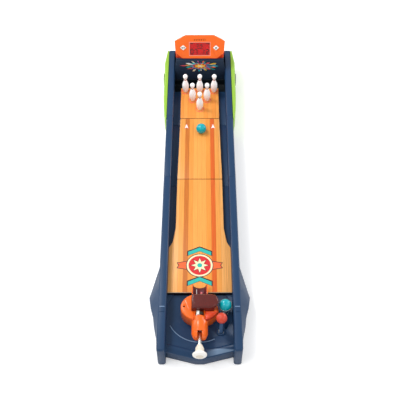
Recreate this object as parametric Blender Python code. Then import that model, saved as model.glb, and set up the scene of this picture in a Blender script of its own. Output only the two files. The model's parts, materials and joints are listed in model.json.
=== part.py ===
"""Tabletop bowling game: a rail-sided alley with a swivelling ball launcher.

All lengths are in metres. The game is drawn with Y = 0 at the tips of its rails,
the player towards -Y and the pins towards +Y; finish() centres it over the origin.
"""
import math

import bmesh
import bpy
from mathutils import Matrix, Vector

for item in list(bpy.data.objects):
    bpy.data.objects.remove(item, do_unlink=True)

# Fits and walls that all pieces share.
gap = 0.0003
slide_clearance = 0.0005
wall = 0.0025
thin_wall = 0.0016
overrun = 0.0010
round_steps = 32
small_steps = 20
bore_steps = 16
post_steps = 12

# Sections of the body, from the player to the pin house.
front_length = 0.4295
middle_length = 0.1985
deck_length = 0.124
pit_length = 0.046
house_length = 0.078
front_seam = front_length
rear_seam = front_seam + middle_length
deck_end = rear_seam + deck_length
pit_end = deck_end + pit_length
body_length = pit_end + house_length

# Rails and floors of the body.
rail_outer = 0.0825
rail_width = 0.016
rail_chamfer = 0.002
body_bottom = 0.003
tip_radius = 0.005
tip_steps = 4
gutter_floor = 0.030
lane_rise = 0.012
rail_rise = 0.024
console_rise = 0.003
pit_depth = 0.0175
rib_inset = 0.0022
rib_width = 0.002
tongue_length = 0.012
rail_inner = rail_outer - rail_width
lane_top = gutter_floor + lane_rise
rail_top = lane_top + rail_rise
console_floor = gutter_floor + console_rise
pit_floor = gutter_floor - pit_depth
slab_under = gutter_floor - wall
slab_edge = rail_inner + wall / 2

# Flared shoulders: share of the length, then shares of the reach at the ridge,
# of the rail's height at the ridge, of the reach and of the height at the facet.
flare_length = 0.199
flare_reach = 0.021
flare_wall = 0.0032
undercut_share = 0.75
plain_shares = (0.0, 0.76, 0.0, 0.93)
flare_shares = (
    (0.075, 0.03, 0.76, 0.00, 0.93),
    (0.186, 0.12, 0.76, 0.05, 0.90),
    (0.291, 0.36, 0.73, 0.20, 0.83),
    (0.402, 0.49, 0.68, 0.38, 0.75),
    (0.518, 0.78, 0.64, 0.72, 0.66),
    (0.668, 1.00, 0.455, 0.25, 0.88),
    (0.753, 0.74, 0.515, 0.03, 0.93),
    (1.000, 0.00, 0.76, 0.00, 0.93),
)

# Console in front of the lane: V lip, floor and round dish.
dish_radius = 0.066
dish_steps = 40
lip_half = 0.0085
lip_sweep = 0.015
lip_bead = 0.003
lip_round = 0.007
lip_slope = 0.008
lip_flat = 0.012
lip_depth = 0.016
lip_height = console_floor + lip_bead
lip_face = lip_height - lip_round
dish_floor = gutter_floor

# Place of the turret, which the launcher, the cup and the lever are set from.
turret_y = 0.100
housing_lead = 0.004
housing_half_y = 0.030
riser_clearance = 0.0135
housing_y = turret_y - housing_lead

# Lane plates, from the player's end to the pins.
lane_thickness = 0.003
wide_length = 0.1095
taper_length = 0.015
waist_length = 0.036
plate_lap = 0.0115
taper_gutter = 0.0082
narrow_gutter = 0.0137
front_seam_gutter = 0.0143
rear_seam_gutter = 0.0178
lane_start = housing_y + housing_half_y + riser_clearance
wide_end = lane_start + wide_length
taper_end = wide_end + taper_length
narrow_start = taper_end + waist_length
taper_half = rail_inner - taper_gutter
narrow_half = rail_inner - narrow_gutter
front_seam_half = rail_inner - front_seam_gutter
rear_seam_half = rail_inner - rear_seam_gutter
rib_offset = rear_seam_half - rib_inset
lane_under = lane_top - lane_thickness
rib_top = lane_under - gap

# Pins, their axles and the sensor board below the deck.
pin_height = 0.057
pin_belly = 0.0086
pin_rows = 3
pin_side_margin = 0.0117
pin_front_margin = 0.0465
pin_back_margin = 0.012
pin_pivot_back = 0.0058
axle_depth = 0.0044
axle_radius = 0.0010
lug_radius = 0.0024
lug_neck_share = 0.8
lug_half = 0.0015
lug_rise = 0.0018
pin_slot_half = 0.0042
pin_slot_front = 0.0032
pin_slot_back = 0.0070
bearing_half = 0.0015
bearing_length_half = 0.0035
bearing_wall = 0.0016
sensor_board_inset = 0.0067
sensor_board_thickness = 0.0014
sensor_board_margin = 0.008
sensor_block_half = 0.002
sensor_block_height = 0.0028
pin_side_pitch = (rear_seam_half - pin_side_margin) / (pin_rows - 1)
pin_row_pitch = (deck_length - pin_front_margin - pin_back_margin) / (pin_rows - 1)
first_pin_y = rear_seam + pin_front_margin
axle_z = lane_top - axle_depth
bearing_bottom = axle_z - axle_radius - bearing_wall
sensor_board_half = rear_seam_half - sensor_board_inset
pin_shares = (
    (0.00, 0.56), (0.02, 0.62), (0.12, 0.82), (0.21, 0.95), (0.30, 1.00), (0.40, 0.94), (0.50, 0.74),
    (0.60, 0.50), (0.70, 0.40), (0.76, 0.44), (0.83, 0.58), (0.90, 0.64), (0.96, 0.48), (1.00, 0.15),
)

# Balls.
ball_radius = 0.0125
ball_steps = 24
ball_rings = 12
lane_ball_x = 0.0035
lane_ball_lead = 0.0352
lane_ball_y = rear_seam - lane_ball_lead

# Pin house: backboard and hood.
board_offset = 0.0008
board_thickness = 0.0022
board_rise = 0.031
house_inset = 0.0045
hood_inset = 0.004
board_front = pit_end + board_offset
board_top = rail_top + board_rise
house_half = rail_inner - house_inset
hood_back = body_length - hood_inset

# Side panels and hub caps.
panel_overlap = 0.010
panel_bottom = 0.004
panel_rounding = 0.005
panel_bulge = 0.0108
panel_shares = ((0.00, 0.20), (0.12, 0.66), (0.30, 0.88), (0.61, 0.94), (0.82, 1.00), (1.00, 0.45))
panel_low_share = 0.6
panel_high_share = 0.7
hub_lead = 0.006
hub_drop = 0.031
hub_radius = 0.018
hub_base = 0.0045
hub_depth = 0.0088
hub_edge = 0.002
panel_start = rear_seam - panel_overlap
hub_y = pit_end - hub_lead
hub_z = rail_top - hub_drop
hub_seat = rail_outer + hub_base
hub_face = hub_seat + hub_depth

# Rubber feet.
foot_radius = 0.007
foot_waist_share = 0.85
foot_stud_radius = 0.002
foot_inset = 0.018
foot_plate_half = 0.0085
foot_height = body_bottom - gap

# Turret: housing, barrel, liner, end cap, cover and screw.
cup_wall = 0.0015
cup_clearance = 0.0012
cup_reach = 0.013
cup_lead = 0.001
housing_rise = 0.0026
housing_chamfer = 0.002
housing_steps = 30
bore_clearance = 0.0017
barrel_wall = 0.0018
guide_bore = 0.0096
sleeve_length = 0.0235
neck_taper = 0.003
barrel_lift = 0.0014
barrel_back = 0.062
barrel_front = 0.047
slot_back = 0.0270
slot_half = 0.0085
passage_clearance = 0.0012
cover_clearance = 0.0033
cover_inset = 0.0005
cover_height = 0.016
cover_bevel = 0.003
cover_steps = 12
mouth_height = 0.0105
liner_wall = 0.0009
liner_length = 0.031
liner_inset = 0.0005
sleeve_mouth = 0.0145
cap_flange = 0.0095
cap_plug = 0.0033
cap_taper = 0.008
cap_nose = 0.0123
cap_flat = 0.0085
cap_slot_half = 0.0044
boss_radius = 0.0065
screw_head_radius = 0.009
screw_crown_share = 0.9
screw_head_height = 0.0027
screw_radius = 0.0022
screw_reach = 0.0095
post_radius = 0.004
post_hole_radius = 0.002
post_inset = 0.007
side_cap_depth = 0.008
side_cap_proud = 0.001
rib_height = 0.0010
first_rib_share = 1.2
cap_rib_count = 3
cup_outer = ball_radius + gap + cup_wall
cup_x = rail_inner - cup_outer - cup_clearance
cup_y = turret_y + cup_lead
housing_half_x = cup_x - cup_reach
post_x = housing_half_x - post_inset
bore_radius = ball_radius + bore_clearance
barrel_outer = bore_radius + barrel_wall
barrel_z = lane_top + barrel_lift + barrel_outer
barrel_start = turret_y - barrel_back
barrel_end = turret_y + barrel_front
neck_outer = guide_bore + thin_wall
sleeve_end = barrel_start + sleeve_length
slot_start = turret_y - slot_back
bore_bottom = barrel_z - bore_radius
passage_floor = bore_bottom + gap + liner_wall
passage_half = ball_radius + passage_clearance
housing_top = barrel_z + housing_rise
side_cap_floor = housing_top - side_cap_depth
side_cap_top = housing_top + side_cap_proud
cover_half = ball_radius + cover_clearance
cover_turn_x = housing_half_x - cover_half - cover_inset
cover_top = housing_top + cover_height
mouth_top = housing_top + mouth_height
cover_start = cup_y - cover_half
side_cap_back = cover_start - gap

# Plunger: rod, collar, knob, striker and spring.
rod_radius = 0.0036
spring_clearance = 0.0004
striker_back = 0.023
striker_thickness = 0.006
striker_slack = 0.0010
striker_edge = 0.0008
socket_depth = 0.004
hook_left = 0.0062
hook_right = 0.0006
hook_bar = 0.0016
hook_behind = 0.010
hook_ahead = 0.0075
hook_low = 0.0055
hook_high = 0.0069
knob_front = -0.010
knob_radius = 0.014
knob_spigot = 0.004
knob_spigot_length = 0.005
collar_end = 0.0145
collar_waist_share = 0.62
collar_base_radius = 0.0085
collar_tip_radius = 0.0053
collar_hole_depth = 0.009
spring_wire = 0.0012
spring_turns = 8
spring_turn_points = 9
spring_radius = rod_radius + spring_clearance + spring_wire / 2
striker_start = turret_y - striker_back
hook_start = striker_start - hook_behind
hook_end = striker_start + hook_ahead
knob_shares = ((0.0, 0.42), (0.06, 0.70), (0.20, 0.90), (0.42, 1.00), (0.62, 0.98), (0.82, 0.80), (1.0, 0.62))

# Loader: cup, lifter and lever.
cup_ball_rise = 0.016
cup_rim_rise = 0.001
cup_base_radius = 0.009
cup_hole_radius = 0.0055
cup_post_hole = 0.0036
cup_side_gap = 0.0015
cup_lip_drop = 0.012
cup_steps = 6
lifter_pad_radius = 0.005
lifter_pad_height = 0.0016
lifter_post_radius = 0.003
lifter_foot_radius = 0.0042
lifter_foot_height = 0.0014
lifter_tip_radius = 0.0015
lifter_tip_height = 0.0009
lever_inset = 0.0084
lever_back = 0.046
lever_drop = 0.0105
lever_hub_radius = 0.0045
lever_hub_half = 0.0046
lever_pin_radius = 0.0015
lever_lug_gap = 0.0054
lever_lug_width = 0.0025
lever_lug_half = 0.004
stem_base_radius = 0.0044
stem_tip_radius = 0.0034
stem_bend_rise = 0.042
stem_rise = 0.056
arm_thickness = 0.004
arm_neck_half = 0.004
arm_end_half = 0.005
arm_neck_length = 0.006
lever_lean = 0.0088
lever_knob_rise = 0.003
lever_knob_radius = 0.0107
knob_flat_share = 1 / 12
lever_boss_lean = 0.0022
lever_boss_radius = 0.0095
lever_slot_ahead = 0.0045
lever_slot_behind = 0.0085
lever_slot_half = 0.0049
bezel_height = 0.002
bezel_bore = 0.0066
collar_height = 0.005
lever_collar_radius = 0.006
cup_ball_z = lane_top + cup_ball_rise
cup_rim = cup_ball_z + cup_rim_rise
cup_lip = cup_ball_z - cup_lip_drop
cup_side = housing_half_x + cup_side_gap
lifter_pad_top = cup_ball_z - ball_radius - gap
lever_x = cup_x - lever_inset
lever_y = turret_y - lever_back
lever_z = slab_under - lever_drop
stem_bend_z = lever_z + stem_bend_rise
stem_top = lever_z + stem_rise
arm_bottom = lever_z - arm_thickness
arm_waist_y = lever_y + arm_neck_length
arm_widen_y = cup_y - arm_end_half
lever_knob_y = lever_y + lever_lean
lever_knob_z = stem_top + lever_knob_rise
lever_boss_y = lever_y + lever_boss_lean
lever_slot_front = lever_y - lever_slot_ahead
lever_slot_back = lever_y + lever_slot_behind

# Score unit, drawn flat: u across, v up its face and w into it.
score_setback = 0.0032
score_clearance = 0.0025
score_tilt = math.radians(25)
score_spread = 0.003
score_shoulder = 0.046
corner_run = 0.0285
corner_rise = 0.0152
score_edge = 0.0010
score_draft_share = 0.23
bezel_depth = 0.012
facet_depth = 0.008
score_depth = 0.034
score_back_edge = 0.003
facet_shares = (0.73, 0.33)
square_shares = (0.97, 0.04)
window_margin = 0.016
window_low = 0.009
window_height = 0.0327
lens_lip = 0.0014
lens_recess = 0.0007
lens_flange = 0.0005
lcd_margin = 0.0016
board_depth = 0.010
circuit_thickness = 0.0014
score_post_radius = 0.0022
side_post_inset = 0.006
side_post_v = 0.024
low_post_offset = 0.010
low_post_v = 0.0065
buzzer_radius = 0.006
buzzer_rise = 0.0080
slot_count = 7
slot_pitch = 0.0045
slot_width = 0.0014
slot_rise = 0.0041
slot_length = 0.005
diamond_half_u = 0.0075
diamond_half_v = 0.0065
diamond_v = 0.0286
button_inset = 0.023
button_offset = 0.001
diamond_proud = 0.0018
diamond_flange = 0.0012
diamond_flange_height = 0.0012
diamond_stem_radius = 0.002
diamond_stem_length = 0.004
pill_half = 0.0100
pill_radius = 0.0033
pill_w = 0.0070
pill_proud = 0.0025
pill_flange_half = 0.0120
pill_flange_width = 0.0028
pill_flange_height = 0.0014
pill_steps = 6
battery_radius = 0.0072
battery_margin = 0.0115
battery_nub_radius = 0.0027
battery_nub = 0.0015
battery_v = 0.025
battery_side_gap = 0.0007
pocket_margin = 0.0012
pocket_rim = 0.003
door_thickness = 0.0018
door_lip = 0.002
score_y = board_front + score_setback
score_z = board_top + score_clearance
score_low_half = house_half
score_mid_half = score_low_half + score_spread
score_top_half = score_mid_half - corner_run
score_height = score_shoulder + corner_rise
one_player_u = score_mid_half - button_inset
two_players_u = -one_player_u - button_offset
window_half = one_player_u - window_margin
window_high = window_low + window_height
side_post_u = score_low_half - side_post_inset
low_post_u = window_half + low_post_offset
buzzer_v = window_high + buzzer_rise
slot_low = window_high + slot_rise
slot_high = slot_low + slot_length
battery_length = score_low_half - battery_margin

middle = (knob_front + body_length) / 2

# Axes of straight and turned pieces: two coordinates across, then one along.
PLACES = {
    "X": lambda a, b, along: (along, a, b),
    "Y": lambda a, b, along: (a, along, b),
    "Z": lambda a, b, along: (a, b, along),
}


def skin(rings, closed=False, split=False):
    """Solid through rings of equally many points, with end faces unless it closes on itself."""
    count = len(rings[0])
    corners = [corner for ring in rings for corner in ring]
    faces = [] if closed else [range(count), range(len(corners) - count, len(corners))]
    for ring in range(len(rings) if closed else len(rings) - 1):
        start = ring * count
        ahead = (ring + 1) % len(rings) * count
        for step in range(count):
            turn = (step + 1) % count
            faces.append((start + step, start + turn, ahead + turn, ahead + step))
    mesh = bpy.data.meshes.new("piece")
    mesh.from_pydata(corners, [], [tuple(face) for face in faces])
    shape = bmesh.new()
    shape.from_mesh(mesh)
    if split:
        bmesh.ops.triangulate(shape, faces=shape.faces)
    bmesh.ops.recalc_face_normals(shape, faces=shape.faces)
    shape.to_mesh(mesh)
    shape.free()
    piece = bpy.data.objects.new("piece", mesh)
    bpy.context.collection.objects.link(piece)
    return piece


def circle(radius, centre=(0, 0), steps=round_steps):
    """Points of a circle."""
    turns = [2 * math.pi * step / steps for step in range(steps)]
    return [(centre[0] + radius * math.cos(turn), centre[1] + radius * math.sin(turn)) for turn in turns]


def prism(outline, low, high, axis="Z"):
    """Straight solid on an outline."""
    place = PLACES[axis]
    return skin([[place(a, b, along) for a, b in outline] for along in (low, high)])


def turned(profile, centre=(0, 0), axis="Z", steps=round_steps, closed=False):
    """Solid turned about an axis; its profile gives places along the axis and radii."""
    place = PLACES[axis]
    rings = []
    for along, radius in profile:
        rings.append([place(a, b, along) for a, b in circle(radius, centre, steps)])
    return skin(rings, closed)


def rod(radius, low, high, centre=(0, 0), axis="Z", steps=small_steps):
    """Plain cylinder."""
    return turned([(low, radius), (high, radius)], centre, axis, steps)


def bar(across, along, up):
    """Box from its ranges in X, Y and Z, each in any order."""
    (left, right), (near, far), (low, high) = sorted(across), sorted(along), sorted(up)
    return prism([(left, near), (right, near), (right, far), (left, far)], low, high)


def shrink(outline, by):
    """Counter-clockwise outline with each edge moved inwards, or outwards where by is negative."""
    moved = []
    for here in range(len(outline)):
        before, corner, after = (Vector(outline[(here + step) % len(outline)]) for step in (-1, 0, 1))
        arriving = (corner - before).normalized()
        leaving = (after - corner).normalized()
        inward = Vector((-arriving.y - leaving.y, arriving.x + leaving.x))
        moved.append(tuple(corner + inward * by / (1 + arriving.dot(leaving))))
    return moved


def combine(piece, tool, operation="DIFFERENCE"):
    """Cut, join or trim a piece with another, which is used up."""
    change = piece.modifiers.new("change", "BOOLEAN")
    change.operation = operation
    change.solver = "EXACT"
    change.object = tool
    graph = bpy.context.evaluated_depsgraph_get()
    mesh = bpy.data.meshes.new_from_object(piece.evaluated_get(graph))
    piece.modifiers.remove(change)
    used = (piece.data, tool.data)
    piece.data = mesh
    bpy.data.objects.remove(tool, do_unlink=True)
    for old in used:
        bpy.data.meshes.remove(old)
    return piece


def join(piece, *tools):
    """Fuse further solids onto a piece."""
    for tool in tools:
        combine(piece, tool, "UNION")
    return piece


def cut(piece, *tools):
    """Take solids out of a piece."""
    for tool in tools:
        combine(piece, tool)
    return piece


def mirrored(piece):
    """Copy of a piece on the other side of the game."""
    copy = piece.copy()
    copy.data = piece.data.copy()
    copy.data.transform(Matrix.Diagonal((-1, 1, 1, 1)))
    copy.data.flip_normals()
    bpy.context.collection.objects.link(copy)
    return copy


def paint(name, colour, roughness, metallic=0.0, alpha=1.0):
    """Principled material of one piece, from an sRGB hex colour."""
    look = bpy.data.materials.new(name)
    look.use_nodes = True
    shader = look.node_tree.nodes["Principled BSDF"]
    levels = [int(colour[place:place + 2], 16) / 255 for place in (0, 2, 4)]
    linear = [level / 12.92 if level < 0.04 else ((level + 0.055) / 1.055) ** 2.4 for level in levels]
    shader.inputs["Base Color"].default_value = (*linear, 1)
    shader.inputs["Roughness"].default_value = roughness
    shader.inputs["Metallic"].default_value = metallic
    shader.inputs["Alpha"].default_value = alpha
    look.diffuse_color = (*linear, alpha)
    return look


NAVY = ("33506F", 0.42)
ORANGE = ("FF7828", 0.38)
RED = ("C8281E", 0.35)
LIME = ("AAD750", 0.42)
LANE = ("F0A85A", 0.35)
WHITE = ("F2EFE8", 0.35)
PALE = ("D8D4C8", 0.40)
STEEL = ("B8BCC2", 0.30, 1.0)
RUBBER = ("26282B", 0.80)
TEAL = ("009696", 0.20)
SMOKY = ("5A3A28", 0.18, 0.0, 0.75)
CLEAR = ("DDE6EA", 0.10, 0.0, 0.35)
MAROON = ("6A1E22", 0.45)
GREEN = ("2C6B4A", 0.60)
BLACK = ("1C1E22", 0.50)
LCD_RED = ("D8352C", 0.30)
COPPER = ("B87832", 0.35, 0.6)


def finish(piece, name, look, pivot=(0, 0, 0)):
    """Name and paint a piece, set its origin on its pivot and centre the game."""
    pivot = Vector(pivot)
    piece.name = name
    piece.data.name = name
    piece.data.transform(Matrix.Translation(-pivot))
    piece.location = pivot - Vector((0, middle, 0))
    piece.data.materials.clear()
    piece.data.materials.append(paint(name, *look))
    if piece.type == "MESH":
        piece.data.shade_smooth()
        piece.data.set_sharp_from_angle(angle=math.radians(32))
    return piece


# Body

def side_ring(along, shares=plain_shares, inset=0.0, low=body_bottom):
    """Section of the right rail and its shoulder, with every face moved in by the inset."""
    reach, ridge, facet, lift = shares
    near = rail_inner + inset
    far = rail_outer - inset
    top = rail_top - inset
    section = [
        (near, low), (near, top - rail_chamfer), (near + rail_chamfer, top),
        (far - rail_chamfer, top), (far, top - rail_chamfer),
        (far + flare_reach * facet, rail_top * lift - inset),
        (far + flare_reach * reach, rail_top * ridge),
        (far + flare_reach * reach * undercut_share, low),
    ]
    return [(x, along, z) for x, z in section]


def front_rail():
    """Right rail of the front section, with rounded tip and flared shoulder, hollow below."""
    rings = []
    for step in range(tip_steps + 1):
        turn = math.pi / 2 * step / tip_steps
        inset = tip_radius * (1 - math.sin(turn))
        rings.append(side_ring(tip_radius * (1 - math.cos(turn)), plain_shares, inset))
    inside = [side_ring(tip_radius + flare_wall, plain_shares, flare_wall, -overrun)]
    for along, *shares in flare_shares:
        rings.append(side_ring(flare_length * along, shares))
        inside.append(side_ring(flare_length * along, shares, flare_wall, -overrun))
    end = front_seam - gap / 2
    rings.append(side_ring(end))
    inside.append(side_ring(end - wall, plain_shares, flare_wall, -overrun))
    return cut(skin(rings, split=True), skin(inside, split=True))


def straight_rail(start, end):
    """Right rail of the other sections: an upside-down U."""
    outline = [(x, z) for x, _, z in side_ring(start)]
    inside = [(x, z) for x, _, z in side_ring(start, plain_shares, wall, -overrun)]
    return cut(prism(outline, start, end, "Y"), prism(inside, start - overrun, end + overrun, "Y"))


def add_tongues(body, end):
    """Tongues at the back of both rails, which slide into the next section."""
    near = rail_inner + wall + gap
    far = rail_outer - wall - gap
    for side in (-1, 1):
        bulkhead = bar(
            (side * (rail_inner + wall / 2), side * (rail_outer - wall / 2)), (end - wall, end),
            (gutter_floor, rail_top - wall / 2 - rail_chamfer))
        tongue = bar(
            (side * near, side * far), (end - wall / 2, end + tongue_length),
            (gutter_floor, rail_top - wall - rail_chamfer - gap))
        join(body, bulkhead, tongue)


def add_foot_plates(body, along):
    """Plates across both rail hollows, which carry the feet."""
    for side in (-1, 1):
        place = (side * (rail_inner + rail_width / 2), along)
        plate = bar(
            (side * slab_edge, side * (rail_outer - wall / 2)),
            (along - foot_plate_half, along + foot_plate_half), (body_bottom, body_bottom + wall))
        join(body, plate)
        cut(body, rod(foot_stud_radius + gap, 0, body_bottom + wall + overrun, place))


def lip_front(x):
    """Front line of the V lip."""
    return lip_sweep * max(0, abs(x) - lip_half) / (rail_inner - lip_half)


def lip():
    """V lip across the front of the console, a bent shell."""
    section = [
        (0, body_bottom), (0, lip_face), (lip_slope, lip_height), (lip_flat, lip_height),
        (lip_depth, console_floor), (lip_depth, console_floor - wall), (lip_flat, lip_height - wall),
        (lip_slope + wall / 2, lip_height - wall), (wall, lip_face - wall / 2), (wall, body_bottom),
    ]
    rings = []
    for x in (-slab_edge, -lip_half, lip_half, slab_edge):
        rings.append([(x, lip_front(x) + run, rise) for run, rise in section])
    return skin(rings, split=True)


def dish(radius, side, back, low, high):
    """Slice of the console's round dish, held between the rails and the riser."""
    outline = []
    for x, y in circle(radius, (0, turret_y), dish_steps):
        point = (min(max(x, -side), side), min(y, back))
        if not outline or point != outline[-1]:
            outline.append(point)
    return prism(outline, low, high)


def console():
    """Floor in front of the lane, with its dish, the lever's boss and their holes."""
    rim = [(x, lip_front(x) + lip_depth - wall / 2) for x in (-slab_edge, -lip_half, lip_half, slab_edge)]
    back = lane_start + wall / 2
    floor = prism(rim + [(slab_edge, back), (-slab_edge, back)], console_floor - wall, console_floor)
    join(floor, dish(dish_radius + wall, slab_edge, back, slab_under, console_floor))
    cut(floor, dish(dish_radius, slab_edge - wall / 4, back - wall / 4, dish_floor, console_floor + overrun))
    boss = rod(lever_boss_radius, slab_under, console_floor, (lever_x, lever_boss_y), steps=round_steps)
    join(floor, boss)
    for side in (-1, 1):
        near = lever_x + side * lever_lug_gap
        far = near + side * lever_lug_width
        low = lever_z - lever_lug_half
        join(floor, bar((near, far), (lever_y - lever_lug_half, lever_y + lever_lug_half),
                        (low, slab_under + wall / 2)))
    reach = lever_lug_gap + lever_lug_width + overrun
    cut(
        floor,
        bar((lever_x - lever_slot_half, lever_x + lever_slot_half), (lever_slot_front, lever_slot_back),
            (slab_under - overrun, console_floor + overrun)),
        rod(boss_radius + gap, slab_under - overrun, console_floor, (0, turret_y)),
        rod(cup_post_hole, slab_under - overrun, console_floor, (cup_x, cup_y)),
        rod(lever_pin_radius + gap, lever_x - reach, lever_x + reach, (lever_y, lever_z), "X"))
    return floor


def add_gutters(body, start, end, lane_end):
    """Gutter floor between the rails, with the two long ribs that carry the lane."""
    join(body, bar((-slab_edge, slab_edge), (start, end), (slab_under, gutter_floor)))
    for side in (-1, 1):
        across = (side * (rib_offset - rib_width / 2), side * (rib_offset + rib_width / 2))
        join(body, bar(across, (start, lane_end), (gutter_floor - wall / 2, rib_top)))


def front_body():
    """Front section: rails with shoulders, lip, console and the front half of the gutters."""
    body = front_rail()
    join(body, mirrored(body), lip(), console())
    join(body, bar((-slab_edge, slab_edge), (lane_start, lane_start + wall), (slab_under, rib_top)))
    end = front_seam - gap / 2
    add_gutters(body, lane_start + wall / 2, end, end)
    add_tongues(body, end)
    add_foot_plates(body, foot_inset)
    finish(body, "front_body", NAVY)


def middle_body():
    """Middle section: rails and gutters."""
    start = front_seam + gap / 2
    end = rear_seam - gap / 2
    body = straight_rail(start, end)
    join(body, mirrored(body))
    add_gutters(body, start, end, end)
    add_tongues(body, end)
    finish(body, "middle_body", NAVY)


def rear_body():
    """Rear section: rails, gutters beside the pins, the ball pit and the house floor."""
    start = rear_seam + gap / 2
    body = straight_rail(start, body_length)
    join(body, mirrored(body))
    add_gutters(body, start, deck_end, deck_end)
    across = (-slab_edge, slab_edge)
    join(
        body,
        bar(across, (deck_end - wall, deck_end), (pit_floor - wall, gutter_floor)),
        bar(across, (deck_end - wall, pit_end + wall), (pit_floor - wall, pit_floor)),
        bar(across, (pit_end, pit_end + wall), (pit_floor - wall, gutter_floor)),
        bar(across, (pit_end, body_length - wall / 2), (slab_under, gutter_floor)),
        bar((-rail_outer + wall / 2, rail_outer - wall / 2), (body_length - wall, body_length),
            (body_bottom, rail_top - wall / 2)))
    add_foot_plates(body, body_length - foot_inset)
    finish(body, "rear_body", NAVY)


def lane_plates():
    """Three lane plates; the deck has slots and bearings for the pins."""
    full = rail_inner - gap
    start = front_seam + plate_lap
    half = [
        (full, lane_start), (full, wide_end), (taper_half, taper_end), (narrow_half, narrow_start),
        (front_seam_half, start - gap),
    ]
    left = [(-x, y) for x, y in reversed(half)]
    finish(prism(half + left, lane_under, lane_top), "lane_front", LANE)
    seam = rear_seam + plate_lap
    outline = [
        (front_seam_half, start), (rear_seam_half, seam),
        (-rear_seam_half, seam), (-front_seam_half, start),
    ]
    finish(prism(outline, lane_under, lane_top), "lane_middle", LANE)
    deck = bar((-rear_seam_half, rear_seam_half), (seam + gap, deck_end), (lane_under, lane_top))
    for x, y, _ in pin_places():
        pivot = y + pin_pivot_back
        cut(deck, bar((x - pin_slot_half, x + pin_slot_half), (pivot - pin_slot_front, pivot + pin_slot_back),
                      (lane_under - overrun, lane_top + overrun)))
    for row in range(pin_rows):
        y = first_pin_y + row * pin_row_pitch + pin_pivot_back
        for side in (-1, 1):
            x = side * bearing_x(row)
            along = (y - bearing_length_half, y + bearing_length_half)
            block = bar((x - bearing_half, x + bearing_half), along,
                        (bearing_bottom, lane_under + lane_thickness / 2))
            join(deck, block)
        reach = bearing_x(row) + bearing_half + overrun
        cut(deck, rod(axle_radius + gap, -reach, reach, (y, axle_z), "X", bore_steps))
    finish(deck, "pin_deck", LANE)


def bearing_x(row):
    """Distance of a row's outer bearings from the centre line."""
    return row * pin_side_pitch + pin_slot_half + gap + bearing_half


# Pins

def pin_places():
    """Centre and name of each pin, row by row."""
    names = (("front",), ("middle_left", "middle_right"), ("back_left", "back_centre", "back_right"))
    places = []
    for row, row_names in enumerate(names):
        for column, name in enumerate(row_names):
            x = (2 * column - row) * pin_side_pitch
            places.append((x, first_pin_y + row * pin_row_pitch, name))
    return places


def pins():
    """Six pins, each with the lug that hangs on its row's axle."""
    bottom = lane_top + gap
    for x, y, name in pin_places():
        pivot = y + pin_pivot_back
        profile = [(bottom + pin_height * rise, pin_belly * share) for rise, share in pin_shares]
        pin = turned(profile, (x, y), steps=small_steps)
        across = (x - lug_half, x + lug_half)
        along = (pivot - lug_radius * lug_neck_share, pivot + lug_half)
        neck = bar(across, along, (axle_z, lane_top + lug_rise))
        join(pin, join(neck, rod(lug_radius, *across, (pivot, axle_z), "X", bore_steps)))
        reach = (across[0] - overrun, across[1] + overrun)
        cut(pin, rod(axle_radius + gap, *reach, (pivot, axle_z), "X", bore_steps))
        finish(pin, "pin_" + name, WHITE, (x, pivot, axle_z))


def pin_axles():
    """One steel axle under each row of pins."""
    for row, name in enumerate(("front", "middle", "back")):
        reach = bearing_x(row) + bearing_half + slide_clearance
        y = first_pin_y + row * pin_row_pitch + pin_pivot_back
        axle = rod(axle_radius, -reach, reach, (y, axle_z), "X", post_steps)
        finish(axle, "pin_axle_" + name, STEEL, (0, y, axle_z))


def pin_sensor_board():
    """Circuit board under the deck, with a sensor block in front of each pin's lug."""
    top = gutter_floor + gap + sensor_board_thickness
    near = first_pin_y - sensor_board_margin
    far = first_pin_y + (pin_rows - 1) * pin_row_pitch + sensor_board_margin
    board = bar((-sensor_board_half, sensor_board_half), (near, far), (gutter_floor + gap, top))
    for x, y, _ in pin_places():
        block = bar(
            (x - sensor_block_half, x + sensor_block_half), (y - sensor_block_half, y + sensor_block_half),
            (top - sensor_board_thickness / 2, top + sensor_block_height))
        join(board, block)
    finish(board, "pin_sensor_board", GREEN)


# Balls

def ball(centre, name, look):
    """Playing ball."""
    shape = bmesh.new()
    bmesh.ops.create_uvsphere(shape, u_segments=ball_steps, v_segments=ball_rings, radius=ball_radius)
    bmesh.ops.translate(shape, vec=centre, verts=shape.verts)
    mesh = bpy.data.meshes.new(name)
    shape.to_mesh(mesh)
    shape.free()
    piece = bpy.data.objects.new(name, mesh)
    bpy.context.collection.objects.link(piece)
    finish(piece, name, look, centre)


# Pin house

def under_score(y):
    """Height of the score unit's underside over a place in Y."""
    return score_z - (y - score_y) * math.tan(score_tilt)


def pin_house():
    """Backboard behind the pit and the hood that carries the score unit."""
    low = gutter_floor + gap
    half = rail_inner - gap
    outline = [(-half, low), (half, low), (half, rail_top), (house_half, board_top), (-house_half, board_top),
               (-half, rail_top)]
    back = board_front + board_thickness
    finish(prism(outline, board_front, back, "Y"), "backboard", NAVY)
    front = back + gap
    drop = gap / math.cos(score_tilt)
    outside = [(front, low), (hood_back, low), (hood_back, under_score(hood_back) - drop),
               (front, under_score(front) - drop)]
    inner_front, inner_back = front + wall, hood_back - wall
    drop += wall / math.cos(score_tilt)
    inside = [(inner_front, low - overrun), (inner_back, low - overrun),
              (inner_back, under_score(inner_back) - drop), (inner_front, under_score(inner_front) - drop)]
    hood = prism(outside, -house_half, house_half, "X")
    cut(hood, prism(inside, wall - house_half, house_half - wall, "X"))
    finish(hood, "house_hood", NAVY)


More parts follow.
